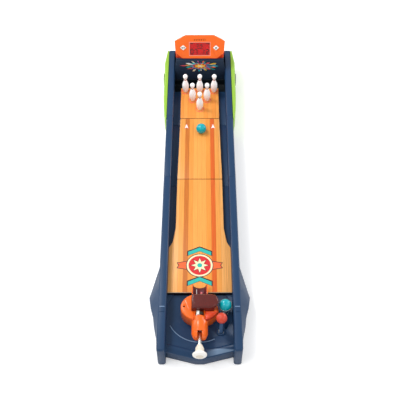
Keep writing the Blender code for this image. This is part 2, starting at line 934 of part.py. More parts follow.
def side_panels():
    """Bulged lime panels outside the rails, each with a round hub cap."""
    length = body_length - panel_start
    base = rail_outer + gap
    rings = []
    for along, share in panel_shares:
        bulge = panel_bulge * share
        section = [
            (base, panel_bottom), (base + bulge * panel_low_share, panel_bottom),
            (base + bulge, panel_bottom + panel_rounding), (base + bulge, rail_top - panel_rounding),
            (base + bulge * panel_high_share, rail_top), (base, rail_top),
        ]
        rings.append([(x, panel_start + length * along, z) for x, z in section])
    panel = skin(rings, split=True)
    seat = rod(hub_radius + gap, hub_seat, hub_face + overrun, (hub_y, hub_z), "X", round_steps)
    cut(panel, seat)
    profile = [
        (hub_seat + gap, hub_radius), (hub_face - hub_edge, hub_radius), (hub_face, hub_radius - hub_edge),
        (hub_face, hub_radius / 2), (hub_face - hub_edge / 2, hub_radius / 3),
    ]
    cap = turned(profile, (hub_y, hub_z), "X")
    finish(mirrored(panel), "side_panel_left", LIME)
    finish(panel, "side_panel_right", LIME)
    finish(mirrored(cap), "hub_cap_left", BLACK)
    finish(cap, "hub_cap_right", BLACK)


def feet():
    """Rubber feet, each with a stud in its plate."""
    profile = [
        (0, foot_radius * foot_waist_share), (foot_height / 2, foot_radius), (foot_height, foot_radius),
        (foot_height, foot_stud_radius), (body_bottom + wall, foot_stud_radius),
    ]
    for end, y in (("front", foot_inset), ("back", body_length - foot_inset)):
        for side, sign in (("left", -1), ("right", 1)):
            foot = turned(profile, (sign * (rail_inner + rail_width / 2), y), steps=small_steps)
            finish(foot, "foot_" + end + "_" + side, RUBBER)


# Launcher

def oval(inset=0.0):
    """Outline of the turret housing."""
    points = circle(1, steps=housing_steps)
    return [(x * (housing_half_x - inset), housing_y + y * (housing_half_y - inset)) for x, y in points]


def cover_outline(inset=0.0):
    """Outline of the breech cover: square on the left, half round over the tunnel."""
    half = cover_half - inset
    left = inset - barrel_outer + gap
    points = [(left, cup_y - half)]
    for step in range(cover_steps + 1):
        turn = math.pi * (step / cover_steps - 0.5)
        points.append((cover_turn_x + half * math.cos(turn), cup_y + half * math.sin(turn)))
    return points + [(left, cup_y + half)]


def side_cap_outline(clearance):
    """Front right lobe of the housing's oval, beside the barrel."""
    near = neck_outer + gap
    first = -math.acos(near / housing_half_x)
    last = -math.asin((housing_y - side_cap_back) / housing_half_y)
    points = [(near, side_cap_back)]
    for step in range(cover_steps + 1):
        turn = first + (last - first) * step / cover_steps
        points.append((housing_half_x * math.cos(turn), housing_y + housing_half_y * math.sin(turn)))
    return points if not clearance else shrink(points, -clearance)


def turret_housing():
    """Orange oval body that holds the barrel and turns on a boss in the floor."""
    low = dish_floor + gap
    levels = ((low, 0), (housing_top - housing_chamfer, 0), (housing_top, housing_chamfer))
    housing = skin([[(x, y, z) for x, y in oval(inset)] for z, inset in levels])
    front, back = housing_y - housing_half_y - overrun, housing_y + housing_half_y + overrun
    trough = barrel_outer + gap
    channel = neck_outer + gap
    reach = housing_half_x + overrun
    roof = housing_top - wall
    cavity = prism(oval(wall), low - overrun, roof)
    cut(
        cavity,
        bar((-trough - wall, trough + wall), (front, back), (barrel_z - trough - wall, roof + overrun)),
        bar((0, reach), (cup_y - passage_half - wall, cup_y + passage_half + wall),
            (passage_floor - wall, roof + overrun)),
        bar((trough, reach), (front, side_cap_back + wall), (side_cap_floor - wall, roof + overrun)),
        rod(post_radius, low, roof + overrun, (-post_x, housing_y)))
    cut(
        housing, cavity,
        rod(trough, cover_start - gap, back, (0, barrel_z), "Y", housing_steps),
        bar((-trough, trough), (cover_start - gap, back), (barrel_z, housing_top + overrun)),
        rod(channel, front, cover_start, (0, barrel_z), "Y", housing_steps),
        bar((-channel, channel), (front, cover_start), (barrel_z, housing_top + overrun)),
        bar((0, reach), (cup_y - passage_half, cup_y + passage_half), (passage_floor, housing_top + overrun)),
        bar((trough / 2, reach), (front, side_cap_back + gap), (side_cap_floor, housing_top + overrun)),
        rod(post_hole_radius, low + wall, housing_top + overrun, (-post_x, housing_y)))
    boss_top = barrel_z - trough - wall / 2
    join(housing, rod(boss_radius, slab_under, boss_top, (0, turret_y), steps=round_steps))
    cut(housing, rod(screw_radius + gap, slab_under - overrun, slab_under + screw_reach + gap, (0, turret_y)))
    finish(housing, "turret_housing", ORANGE, (0, turret_y, low))


def turret_side_cap():
    """Ribbed red-orange cover on the housing's front right lobe."""
    cap = prism(side_cap_outline(0), side_cap_floor + gap, side_cap_top)
    start = housing_y - housing_half_y
    pitch = (side_cap_back - start) / (cap_rib_count + 1)
    for rib in range(cap_rib_count):
        y = start + pitch * (rib + first_rib_share)
        ridge = bar((neck_outer, housing_half_x), (y - pitch / 4, y + pitch / 4),
                    (side_cap_top - rib_height, side_cap_top + rib_height))
        block = prism(side_cap_outline(-rib_height), side_cap_floor, side_cap_top + rib_height * 2)
        combine(ridge, block, "INTERSECT")
        join(cap, ridge)
    finish(cap, "turret_side_cap", ("E0552A", 0.42), (0, turret_y, 0))


def turret_screw():
    """Shouldered screw that holds the turret down from below the floor."""
    top = slab_under - gap
    profile = [
        (top - screw_head_height, screw_head_radius * screw_crown_share),
        (top - screw_head_height / 2, screw_head_radius),
        (top, screw_head_radius), (top, screw_radius), (slab_under + screw_reach, screw_radius),
    ]
    finish(turned(profile, (0, turret_y), steps=small_steps), "turret_screw", STEEL, (0, turret_y, 0))


def tube(inner, outer, start, end):
    """Ring around the barrel's axis."""
    profile = [(start, inner), (start, outer), (end, outer), (end, inner)]
    return turned(profile, (0, barrel_z), "Y", housing_steps, closed=True)


def launcher_barrel():
    """Sleeve and narrow neck round the plunger, then the wide breech and the open muzzle."""
    profile = [
        (barrel_start + cap_plug, guide_bore), (barrel_start, sleeve_mouth), (barrel_start, barrel_outer),
        (sleeve_end, barrel_outer),
        (sleeve_end + neck_taper, neck_outer), (cover_start, neck_outer), (cover_start, barrel_outer),
        (barrel_end, barrel_outer), (barrel_end, bore_radius), (cover_start + barrel_wall, bore_radius),
        (cover_start + barrel_wall, guide_bore),
    ]
    barrel = turned(profile, (0, barrel_z), "Y", housing_steps, closed=True)
    reach = barrel_outer + overrun
    cut(
        barrel,
        bar((-reach, reach), (side_cap_back, barrel_end + overrun), (housing_top, barrel_z + reach)),
        bar((-slot_half, slot_half), (slot_start, cover_start + barrel_wall + overrun),
            (barrel_z, barrel_z + reach)),
        bar((bore_radius / 4, reach), (cup_y - passage_half, cup_y + passage_half),
            (passage_floor, housing_top + overrun)))
    finish(barrel, "launcher_barrel", ORANGE, (0, turret_y, barrel_z))


def barrel_end_cap():
    """Cap with a conical plug that closes the barrel's back end around the rod; its top is slotted."""
    hole = rod_radius + slide_clearance
    seat = barrel_start - gap
    start = seat - cap_flange
    profile = [
        (start, hole), (start, cap_nose), (start + cap_taper, barrel_outer),
        (seat, barrel_outer), (seat, sleeve_mouth - 2 * gap), (barrel_start, sleeve_mouth - 2 * gap),
        (seat + cap_plug, guide_bore - gap), (seat + cap_plug, hole),
    ]
    cap = turned(profile, (0, barrel_z), "Y", closed=True)
    reach = (start - overrun, seat + cap_plug + overrun)
    cut(
        cap,
        bar((-cap_slot_half, cap_slot_half), reach, (barrel_z, barrel_z + barrel_outer + overrun)),
        bar((-barrel_outer, barrel_outer), (start - overrun, barrel_start - gap - wall),
            (barrel_z - barrel_outer - overrun, barrel_z - cap_flat)))
    finish(cap, "barrel_end_cap", ORANGE, (0, turret_y, barrel_z))


def muzzle_liner():
    """Maroon half pipe in the muzzle."""
    outer = bore_radius - gap
    end = barrel_end - liner_inset
    liner = tube(outer - liner_wall, outer, end - liner_length, end)
    cut(liner, bar((-outer - overrun, outer + overrun), (end - liner_length - overrun, end + overrun),
                   (housing_top, barrel_z + outer + overrun)))
    finish(liner, "muzzle_liner", MAROON, (0, turret_y, barrel_z))


def breech_cover():
    """Smoky hood over the breech and the tunnel from the cup."""
    low = housing_top + gap
    levels = ((low, 0), (cover_top - cover_bevel, 0), (cover_top, cover_bevel))
    cover = skin([[(x, y, z) for x, y in cover_outline(inset)] for z, inset in levels])
    shoulder = cover_top - cover_bevel
    levels = ((low - overrun, 0), (shoulder, 0), (cover_top - thin_wall, cover_bevel - thin_wall))
    cut(
        cover,
        skin([[(x, y, z) for x, y in cover_outline(thin_wall + inset)] for z, inset in levels]),
        bar((cover_turn_x + thin_wall, cover_turn_x + cover_half + overrun),
            (cup_y - passage_half, cup_y + passage_half), (low - overrun, mouth_top)))
    finish(cover, "breech_cover", SMOKY, (0, turret_y, low))


# Plunger

def plunger():
    """Knob, collar, rod and striker, which slide together."""
    axis = (0, barrel_z)
    pivot = (0, 0, barrel_z)
    hole = rod_radius + gap
    profile = [(knob_front * (1 - along), knob_radius * share) for along, share in knob_shares]
    knob = turned(profile, axis, "Y")
    cut(knob, rod(knob_spigot + gap, -knob_spigot_length - gap, overrun, axis, "Y"))
    finish(knob, "plunger_knob", WHITE, pivot)
    profile = [
        (-knob_spigot_length, knob_spigot), (gap, knob_spigot), (gap, collar_base_radius),
        (collar_end * collar_waist_share, collar_base_radius),
        (collar_end, collar_tip_radius),
    ]
    collar = turned(profile, axis, "Y")
    cut(collar, rod(hole, collar_end - collar_hole_depth, collar_end + overrun, axis, "Y"))
    finish(collar, "plunger_collar", PALE, pivot)
    start = collar_end - collar_hole_depth + gap
    finish(rod(rod_radius, start, striker_start + socket_depth - gap, axis, "Y"), "plunger_rod", STEEL, pivot)
    radius = guide_bore - striker_slack
    end = striker_start + striker_thickness
    profile = [
        (striker_start, radius - striker_edge), (striker_start + striker_edge, radius),
        (end - striker_edge, radius), (end, radius - striker_edge),
    ]
    striker = turned(profile, axis, "Y")
    inner_left, inner_right = hook_bar - hook_left, -hook_right - hook_bar
    hook = [
        (-hook_left, hook_start), (inner_left, hook_start), (inner_left, hook_end - hook_bar),
        (inner_right, hook_end - hook_bar), (inner_right, hook_start), (-hook_right, hook_start),
        (-hook_right, hook_end), (-hook_left, hook_end),
    ]
    join(striker, prism(hook, barrel_z + hook_low, barrel_z + hook_high))
    cut(striker, rod(hole, striker_start - overrun, striker_start + socket_depth, axis, "Y"))
    finish(striker, "striker", WHITE, pivot)


def plunger_spring():
    """Wound spring between the end cap and the striker, one unbroken tube."""
    start = barrel_start - gap + cap_plug + gap + spring_wire / 2
    end = striker_start - gap - spring_wire / 2
    points = []
    count = spring_turns * spring_turn_points
    for step in range(count + 1):
        turn = 2 * math.pi * step / spring_turn_points
        along = start + (end - start) * step / count
        across = spring_radius * math.cos(turn)
        points.append(Vector((across, along, barrel_z + spring_radius * math.sin(turn))))
    first = (points[0] - points[1]).normalized() * spring_wire
    last = (points[-1] - points[-2]).normalized() * spring_wire
    first.y = last.y = 0
    points = [points[0] + first] + points + [points[-1] + last]
    curve = bpy.data.curves.new("plunger_spring", "CURVE")
    curve.dimensions = "3D"
    curve.bevel_depth = spring_wire / 2
    curve.bevel_resolution = 1
    curve.use_fill_caps = True
    line = curve.splines.new("POLY")
    line.points.add(len(points) - 1)
    for place, point in zip(line.points, points):
        place.co = (*point, 1)
    least = min(
        (points[here] - points[there]).length
        for here in range(len(points)) for there in range(here + spring_turn_points // 2, len(points)))
    print("plunger_spring least gap to itself, mm:", round((least - spring_wire) * 1000, 2))
    piece = bpy.data.objects.new("plunger_spring", curve)
    bpy.context.collection.objects.link(piece)
    finish(piece, "plunger_spring", STEEL, (0, turret_y, barrel_z))


# Loader

def ball_cup():
    """Clear cup that holds the next ball, open to the left."""
    place = (cup_x, cup_y)
    seat = cup_outer - cup_wall
    inside = []
    outside = []
    floor = cup_ball_z - math.sqrt(seat ** 2 - cup_hole_radius ** 2)
    for step in range(cup_steps + 1):
        z = floor + (cup_ball_z - floor) * step / cup_steps
        inside.append((z, math.sqrt(seat ** 2 - (z - cup_ball_z) ** 2)))
    outer = cup_outer
    base = cup_ball_z - math.sqrt(outer ** 2 - cup_base_radius ** 2)
    for step in range(cup_steps + 1):
        z = cup_ball_z + (base - cup_ball_z) * step / cup_steps
        outside.append((z, math.sqrt(outer ** 2 - (z - cup_ball_z) ** 2)))
    low = dish_floor + gap
    ledge = lifter_pad_top - lifter_pad_height - gap
    profile = [(low, cup_post_hole), (ledge, cup_post_hole), (ledge, cup_hole_radius)] + inside
    profile += [(cup_rim, seat), (cup_rim, outer)] + outside + [(low, cup_base_radius)]
    cup = turned(profile, place, closed=True)
    open_side = (cup_x - outer - overrun, cup_side)
    cut(cup, bar(open_side, (cup_y - outer, cup_y + outer), (cup_lip, cup_rim + overrun)))
    finish(cup, "ball_cup", CLEAR)


def ball_lifter():
    """Push rod that the lever raises under the cup's ball."""
    low = lever_z + gap
    foot = low + lifter_foot_height
    pad = lifter_pad_top - lifter_pad_height
    profile = [
        (low, lifter_tip_radius), (low + lifter_tip_height, lifter_foot_radius), (foot, lifter_foot_radius),
        (foot, lifter_post_radius), (pad, lifter_post_radius), (pad, lifter_pad_radius),
        (lifter_pad_top, lifter_pad_radius),
    ]
    finish(turned(profile, (cup_x, cup_y), steps=small_steps), "ball_lifter", PALE, (cup_x, cup_y, low))


def loader_lever():
    """Bent lever: a stem for the hand, a hub on its pin and an arm below the lifter."""
    lean = (lever_knob_y - lever_y) / (stem_bend_z - lever_z)
    rings = []
    stem = ((lever_z, stem_base_radius), (stem_bend_z, stem_tip_radius), (stem_top, stem_tip_radius))
    for z, radius in stem:
        y = min(lever_y + (z - lever_z) * lean, lever_knob_y)
        rings.append([(a, b, z) for a, b in circle(radius, (lever_x, y), small_steps)])
    across = (lever_x - lever_hub_half, lever_x + lever_hub_half)
    arm = prism([
        (lever_x - arm_neck_half, lever_y), (lever_x + arm_neck_half, lever_y),
        (lever_x + arm_neck_half, arm_waist_y), (cup_x + arm_end_half, arm_widen_y),
        (cup_x + arm_end_half, cup_y + arm_end_half), (cup_x - arm_end_half, cup_y + arm_end_half),
        (cup_x - arm_end_half, arm_widen_y), (lever_x - arm_neck_half, arm_waist_y),
    ], arm_bottom, lever_z)
    lever = join(rod(lever_hub_radius, *across, (lever_y, lever_z), "X"), skin(rings), arm)
    cut(lever, rod(lever_pin_radius + gap, across[0] - overrun, across[1] + overrun, (lever_y, lever_z), "X"))
    finish(lever, "loader_lever", NAVY, (lever_x, lever_y, lever_z))
    reach = lever_lug_gap + lever_lug_width
    pin = rod(lever_pin_radius, lever_x - reach, lever_x + reach, (lever_y, lever_z), "X")
    finish(pin, "lever_pin", STEEL, (lever_x, lever_y, lever_z))


def lever_top():
    """Collar and red knob on the lever, and the ring around it in the tray."""
    place = (lever_x, lever_knob_y)
    pivot = (lever_x, lever_y, lever_z)
    hole = stem_tip_radius + gap
    flat = math.sqrt(lever_knob_radius ** 2 - lever_collar_radius ** 2)
    base = lever_knob_z - flat
    levels = []
    for step in range(cover_steps):
        rise = (1 - math.cos(math.pi * step / cover_steps)) / 2
        levels.append(lever_knob_z - flat + (flat + lever_knob_radius) * rise)
    profile = [(z, math.sqrt(lever_knob_radius ** 2 - (z - lever_knob_z) ** 2)) for z in levels]
    profile.append((lever_knob_z + lever_knob_radius, lever_knob_radius * knob_flat_share))
    knob = turned(profile, place)
    cut(knob, rod(hole, base - overrun, stem_top + gap, place))
    finish(knob, "lever_knob", RED, pivot)
    low = base - gap - collar_height
    profile = [
        (low, hole), (low, lever_collar_radius - thin_wall),
        (base - gap, lever_collar_radius), (base - gap, hole),
    ]
    finish(turned(profile, place, steps=small_steps, closed=True), "lever_collar", PALE, pivot)
    low = console_floor + gap
    top = low + bezel_height
    profile = [
        (low, bezel_bore), (low, lever_boss_radius), (low + bezel_height / 2, lever_boss_radius),
        (top, lever_boss_radius - bezel_height / 2), (top, bezel_bore),
    ]
    finish(turned(profile, (lever_x, lever_boss_y), closed=True), "lever_bezel", NAVY)


# Score unit

score_frame = Matrix((
    (1, 0, 0, 0),
    (0, math.sin(score_tilt), math.cos(score_tilt), score_y),
    (0, math.cos(score_tilt), -math.sin(score_tilt), score_z),
    (0, 0, 0, 1),
))


def finish_tilted(piece, name, look, pivot=(0, 0, 0)):
    """Lean a piece of the score unit back to its place and finish it."""
    piece.data.transform(score_frame)
    piece.data.flip_normals()
    return finish(piece, name, look, score_frame @ Vector(pivot))


def score_outline(shares, depth=0.0):
    """Outline of the score unit at a depth, with its lower corners cut by shares of its sizes."""
    flat_share, rise_share = shares
    flat = score_low_half * flat_share
    rise = score_shoulder * rise_share
    side = score_low_half + (score_mid_half - score_low_half) * rise_share
    drop = depth * score_draft_share
    right = [
        (flat, 0), (side, rise),
        (score_mid_half, score_shoulder - drop), (score_top_half, score_height - drop),
    ]
    return right + [(-u, v) for u, v in reversed(right)]


def diamond(grown=0.0):
    """Outline of a diamond button around its centre."""
    points = [(diamond_half_u, 0), (0, diamond_half_v), (-diamond_half_u, 0), (0, -diamond_half_v)]
    return shrink(points, -grown)


def moved(points, centre):
    """Outline set on a centre."""
    return [(a + centre[0], b + centre[1]) for a, b in points]


def pill(half, radius):
    """Outline with round ends."""
    points = []
    for side in (-1, 1):
        for step in range(pill_steps + 1):
            turn = side * math.pi / 2 - math.pi / 2 + math.pi * step / pill_steps
            points.append((side * (half - radius) * -1 + radius * math.cos(turn + math.pi / 2),
                           radius * math.sin(turn + math.pi / 2)))
    return points


def corner_frame():
    """Place of a corner button: along the right chamfer, back along it and out of it."""
    low = Vector((score_mid_half, score_shoulder, 0))
    high = Vector((score_top_half, score_height, 0))
    along = (high - low).normalized()
    back = Vector((0, -score_draft_share, 1))
    out = along.cross(back).normalized()
    inward = out.cross(along)
    middle_point = (low + high) / 2 + back * pill_w
    return Matrix.Translation(middle_point) @ Matrix((along, inward, out)).transposed().to_4x4()


def on_corner(piece):
    """Move a piece onto the right chamfer of the score unit."""
    piece.data.transform(corner_frame())
    return piece


def pocket(depth):
    """Inner outline of the bezel at a depth."""
    return shrink(score_outline(facet_shares, depth), wall)


def score_bezel():
    """Front shell with window, button holes and slots, and posts for the board."""
    faceted = score_outline(facet_shares)
    levels = (
        (shrink(faceted, score_edge), 0), (faceted, score_edge),
        (score_outline(square_shares, facet_depth), facet_depth),
        (score_outline(square_shares, bezel_depth), bezel_depth),
    )
    bezel = skin([[(u, v, w) for u, v in outline] for outline, w in levels], split=True)
    cut(
        bezel,
        skin([[(u, v, w) for u, v in pocket(w)] for w in (wall, bezel_depth + overrun)]),
        bar((-window_half, window_half), (window_low, window_high), (-overrun, wall + overrun)))
    for u in (one_player_u, two_players_u):
        cut(bezel, prism(moved(diamond(slide_clearance), (u, diamond_v)), -overrun, wall + overrun))
    hole = pill(pill_half + slide_clearance, pill_radius + slide_clearance)
    opening = on_corner(prism(hole, -wall - overrun, overrun))
    cut(bezel, mirrored(opening), opening)
    for slot in range(slot_count):
        u = (slot - (slot_count - 1) / 2) * slot_pitch
        across = (u - slot_width / 2, u + slot_width / 2)
        cut(bezel, bar(across, (slot_low, slot_high), (-overrun, wall + overrun)))
    for u, v in ((side_post_u, side_post_v), (low_post_u, low_post_v)):
        for side in (-1, 1):
            join(bezel, rod(score_post_radius, wall / 2, board_depth - gap, (side * u, v), steps=post_steps))
    finish_tilted(bezel, "score_bezel", ORANGE)


def score_inside():
    """Lens, display, circuit board and buzzer."""
    half = window_half - gap
    low = window_low + gap
    high = window_high - gap
    flange = wall + gap
    back = flange + lens_flange
    lens = bar((-half, half), (low, high), (lens_recess, back))
    join(lens, bar((-half - lens_lip, half + lens_lip), (low - lens_lip, high + lens_lip), (flange, back)))
    finish_tilted(lens, "score_lens", ("E8D8D8", 0.08, 0.0, 0.3))
    reach = half + lens_lip + lcd_margin
    display = bar((-reach, reach), (low - lens_lip, high + lens_lip + gap), (back + gap, board_depth - gap))
    finish_tilted(display, "lcd_module", LCD_RED)
    end = board_depth + circuit_thickness
    board = prism(shrink(pocket(end), gap), board_depth, end)
    finish_tilted(board, "score_circuit_board", GREEN)
    buzzer = turned(
        [(flange, buzzer_radius), (board_depth - gap, buzzer_radius)], (0, buzzer_v), steps=small_steps)
    finish_tilted(buzzer, "buzzer", BLACK)


def score_back():
    """Back shell with its battery box, two batteries and their door."""
    start = bezel_depth + gap
    edge = score_depth - score_back_edge
    levels = (
        (score_outline(square_shares, start), start), (score_outline(square_shares, edge), edge),
        (shrink(score_outline(square_shares, edge), score_back_edge), score_depth),
    )
    shell = skin([[(u, v, w) for u, v in outline] for outline, w in levels], split=True)
    reaches = (start - overrun, score_depth - wall)
    inside = [(shrink(score_outline(square_shares, w), wall), w) for w in reaches]
    cut(shell, skin([[(u, v, w) for u, v in outline] for outline, w in inside], split=True))
    door_low = score_depth - door_thickness
    centre_w = door_low - gap - battery_radius
    reach = battery_side_gap + battery_length + pocket_margin
    near = battery_v - battery_radius - gap
    far = battery_v + battery_radius + gap
    floor = centre_w - battery_radius - gap
    rim = pocket_rim + door_lip
    deep = (floor - wall, score_depth - wall / 2)
    join(shell, bar((-reach - rim, reach + rim), (near - rim, far + rim), deep))
    recess = door_lip + gap
    cut(
        shell,
        bar((-reach, reach), (near, far), (floor, score_depth + overrun)),
        bar((-reach - recess, reach + recess), (near - recess, far + recess),
            (door_low - gap, score_depth + overrun)))
    finish_tilted(shell, "score_back_shell", ORANGE)
    door = bar((-reach - door_lip, reach + door_lip), (near - door_lip, far + door_lip),
               (door_low, score_depth))
    finish_tilted(door, "battery_door", ORANGE)
    for name, side in (("battery_left", -1), ("battery_right", 1)):
        profile = [
            (battery_side_gap, battery_radius),
            (battery_side_gap + battery_length - battery_nub, battery_radius),
            (battery_side_gap + battery_length - battery_nub, battery_nub_radius),
            (battery_side_gap + battery_length, battery_nub_radius),
        ]
        cell = turned(profile, (battery_v, centre_w), "X", small_steps)
        finish_tilted(cell if side > 0 else swapped(cell), name, COPPER)


def swapped(piece):
    """The piece itself, moved to the other side."""
    other = mirrored(piece)
    used = piece.data
    bpy.data.objects.remove(piece, do_unlink=True)
    bpy.data.meshes.remove(used)
    return other


def score_buttons():
    """Two diamond buttons in the face and two pill buttons in the upper corners."""
    flange = wall + gap
    back = flange + diamond_flange_height
    for name, u in (("button_one_player", one_player_u), ("button_two_players", two_players_u)):
        place = (u, diamond_v)
        button = prism(moved(diamond(), place), -diamond_proud, flange + diamond_flange_height / 2)
        join(
            button,
            prism(moved(diamond(diamond_flange), place), flange, back),
            rod(diamond_stem_radius, flange + diamond_flange_height / 2, back + diamond_stem_length, place,
                steps=post_steps))
        finish_tilted(button, name, WHITE, (*place, 0))
    body = prism(pill(pill_half, pill_radius), -wall - gap - pill_flange_height / 2, pill_proud)
    lugs = bar((-pill_flange_half, pill_flange_half), (-pill_flange_width, pill_flange_width),
               (-wall - gap - pill_flange_height, -wall - gap))
    button = on_corner(join(body, lugs))
    place = corner_frame().translation
    finish_tilted(mirrored(button), "button_corner_left", WHITE, (-place.x, place.y, place.z))
    finish_tilted(button, "button_corner_right", WHITE, place)


front_body()
middle_body()
rear_body()
lane_plates()
pins()
pin_axles()
pin_sensor_board()
ball((lane_ball_x, lane_ball_y, lane_top + gap + ball_radius), "lane_ball", TEAL)
ball((cup_x, cup_y, cup_ball_z), "cup_ball", TEAL)
pin_house()
side_panels()
feet()
turret_housing()
turret_side_cap()
turret_screw()
launcher_barrel()
barrel_end_cap()
muzzle_liner()
breech_cover()
plunger()
plunger_spring()
ball_cup()
ball_lifter()
loader_lever()
lever_top()
score_bezel()
score_inside()
score_back()
score_buttons()
print("nodes:", len(bpy.data.objects))
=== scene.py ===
# %% [markdown]
# # Tabletop bowling game
# A navy alley of three moulded sections, with a printed wooden lane, six pins that
# tip back on axles, an orange score unit, and a launcher on a turret at the player's
# end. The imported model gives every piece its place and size. This lesson dresses it:
# it rounds the edges that a mould would round, remakes the turned and printed pieces
# finely, and gives each one the finish of the stuff that it is made of.

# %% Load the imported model
import json
import math

import bmesh
import bpy
from mathutils import Matrix, Vector


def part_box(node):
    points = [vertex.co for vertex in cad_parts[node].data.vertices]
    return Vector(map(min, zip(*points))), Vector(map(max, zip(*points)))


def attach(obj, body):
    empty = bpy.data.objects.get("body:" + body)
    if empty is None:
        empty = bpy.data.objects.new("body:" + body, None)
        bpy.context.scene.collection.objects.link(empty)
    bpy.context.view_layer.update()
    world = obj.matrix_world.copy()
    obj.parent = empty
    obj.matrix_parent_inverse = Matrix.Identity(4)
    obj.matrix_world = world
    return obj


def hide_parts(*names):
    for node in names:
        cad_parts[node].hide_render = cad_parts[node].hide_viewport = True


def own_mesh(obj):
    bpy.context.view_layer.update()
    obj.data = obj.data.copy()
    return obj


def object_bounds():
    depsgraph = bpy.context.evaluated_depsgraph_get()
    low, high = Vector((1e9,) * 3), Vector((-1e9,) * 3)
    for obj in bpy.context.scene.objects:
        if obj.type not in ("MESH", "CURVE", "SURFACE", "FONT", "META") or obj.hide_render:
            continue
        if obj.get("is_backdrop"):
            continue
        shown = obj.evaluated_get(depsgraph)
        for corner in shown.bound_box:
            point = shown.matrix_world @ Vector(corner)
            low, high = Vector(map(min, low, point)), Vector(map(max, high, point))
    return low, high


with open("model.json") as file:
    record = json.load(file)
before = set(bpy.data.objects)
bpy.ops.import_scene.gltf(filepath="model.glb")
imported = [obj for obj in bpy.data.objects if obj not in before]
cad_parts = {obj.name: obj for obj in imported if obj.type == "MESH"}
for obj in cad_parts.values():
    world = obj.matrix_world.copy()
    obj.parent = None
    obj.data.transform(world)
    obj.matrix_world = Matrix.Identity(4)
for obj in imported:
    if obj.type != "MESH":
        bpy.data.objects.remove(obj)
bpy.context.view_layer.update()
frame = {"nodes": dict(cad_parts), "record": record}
nodes = frame["nodes"]
mm = 0.001

# %% [markdown]
# ## Camera, light and table
# The camera stands in front of the player's end and looks down by 52 degrees. Its
# lens is long, so the rails run together only slowly. We could light the toy with
# one lamp, but a large soft one from the left, a weaker one from the right and a
# pale surrounding show moulded plastic as a studio does: long soft glints on round
# edges and no hard shadow.

# %% Camera
camera = bpy.data.objects.new("camera", bpy.data.cameras.new("camera"))
bpy.context.scene.collection.objects.link(camera)
# Place and lens follow from how fast the rails run together and how long they look.
camera.location = (0.0006, -0.9642, 1.2075)
camera.rotation_euler = (math.radians(38), 0, 0)
camera.data.sensor_width = 36
camera.data.lens = 58.5
bpy.context.scene.camera = camera
bpy.context.scene.view_settings.view_transform = "Standard"
print("camera height in mm:", round(camera.location.z / mm))


# %% One function for colours, one for nodes
def linear(colour):
    """Linear colour of an sRGB hex value."""
    levels = [int(colour[place:place + 2], 16) / 255 for place in (0, 2, 4)]
    return [level / 12.92 if level < 0.04 else ((level + 0.055) / 1.055) ** 2.4 for level in levels] + [1]


def add(tree, kind, settings=None, links=None, **options):
    """Node with its options, the values of its sockets and what is linked into them."""
    node = tree.nodes.new(kind)
    for name, value in options.items():
        setattr(node, name, value)
    for socket, value in (settings or {}).items():
        node.inputs[socket].default_value = value
    for socket, source in (links or {}).items():
        tree.links.new(source, node.inputs[socket])
    return node


print("linear navy:", [round(level, 3) for level in linear("1B3A5C")[:3]])

# %% Surrounding
# It is white where the camera looks at it, straight or through a clear piece, and
# weaker as a light, so that the toy keeps its shades.
studio_level = 0.6
world = bpy.data.worlds.new("studio")
bpy.context.scene.world = world
world.use_nodes = True
tree = world.node_tree
path = add(tree, "ShaderNodeLightPath")
seen = add(tree, "ShaderNodeMath", operation="MAXIMUM", links={
    0: path.outputs["Is Camera Ray"], 1: path.outputs["Is Transmission Ray"]})
level = add(tree, "ShaderNodeMapRange", {"To Min": studio_level, "To Max": 1.0}, {"Value": seen.outputs[0]})
tree.links.new(level.outputs[0], tree.nodes["Background"].inputs["Strength"])
tree.nodes["Background"].inputs["Color"].default_value = linear("FFFFFF")
print("strength of the surrounding, on the toy:", studio_level)


# %% Lamps
def lamp(name, place, size, power):
    """Square soft lamp that looks at the middle of the game."""
    piece = bpy.data.objects.new(name, bpy.data.lights.new(name, "AREA"))
    piece.data.size = size
    piece.data.energy = power
    piece.location = place
    piece.rotation_euler = (Vector((0, 0, 0.03)) - Vector(place)).to_track_quat("-Z", "Y").to_euler()
    bpy.context.scene.collection.objects.link(piece)
    return piece


lamps = [
    lamp("key", (-0.9, -0.7, 1.9), 1.0, 15.0),
    lamp("fill", (1.3, -0.9, 1.5), 1.2, 8.0),
    lamp("left_edge", (-1.5, 0.9, 0.5), 0.8, 7.0),
    lamp("right_edge", (1.5, 0.9, 0.5), 0.8, 9.0),
    lamp("stripe", (-0.62, 0.42, 1.35), 0.3, 9.0),
]
print("lamps:", len(lamps))

# %% Table top
table = bpy.data.objects.new("table_top", bpy.data.meshes.new("table_top"))
reach = 4.0
table.data.from_pydata([(-reach, -reach, 0), (reach, -reach, 0), (reach, reach, 0), (-reach, reach, 0)],
                       [], [(0, 1, 2, 3)])
bpy.context.scene.collection.objects.link(table)
paper = bpy.data.materials.new("white_paper")
paper.use_nodes = True
tree = paper.node_tree
shader = tree.nodes["Principled BSDF"]
shader.inputs["Base Color"].default_value = linear("F0F0F0")
shader.inputs["Roughness"].default_value = 0.9
shader.inputs["Specular IOR Level"].default_value = 0.1
shader.inputs["Emission Color"].default_value = linear("FFFFFF")
# It glows a little for the camera alone, so it looks white and still takes the shadow.
glow = 0.30
path = add(tree, "ShaderNodeLightPath")
lift = add(tree, "ShaderNodeMath", {1: glow}, {0: path.outputs["Is Camera Ray"]}, operation="MULTIPLY")
tree.links.new(lift.outputs[0], shader.inputs["Emission Strength"])
table.data.materials.append(paper)
table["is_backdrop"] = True
print("table top in m:", 2 * reach, "by", 2 * reach)

# %% [markdown]
# ## Moulded plastics
# Most of the toy is injection-moulded ABS. The steel of the mould is etched, so the
# faces have a fine satin grain, and the plastic is a little uneven where it flowed.
# A photograph of such a surface could be wrapped round it, but noise that is tied to
# millimetres works on any shape and needs no image. The etched grain of the real one
# is about 0.1 mm; it is drawn at 0.9 mm here, or nothing of it would show.


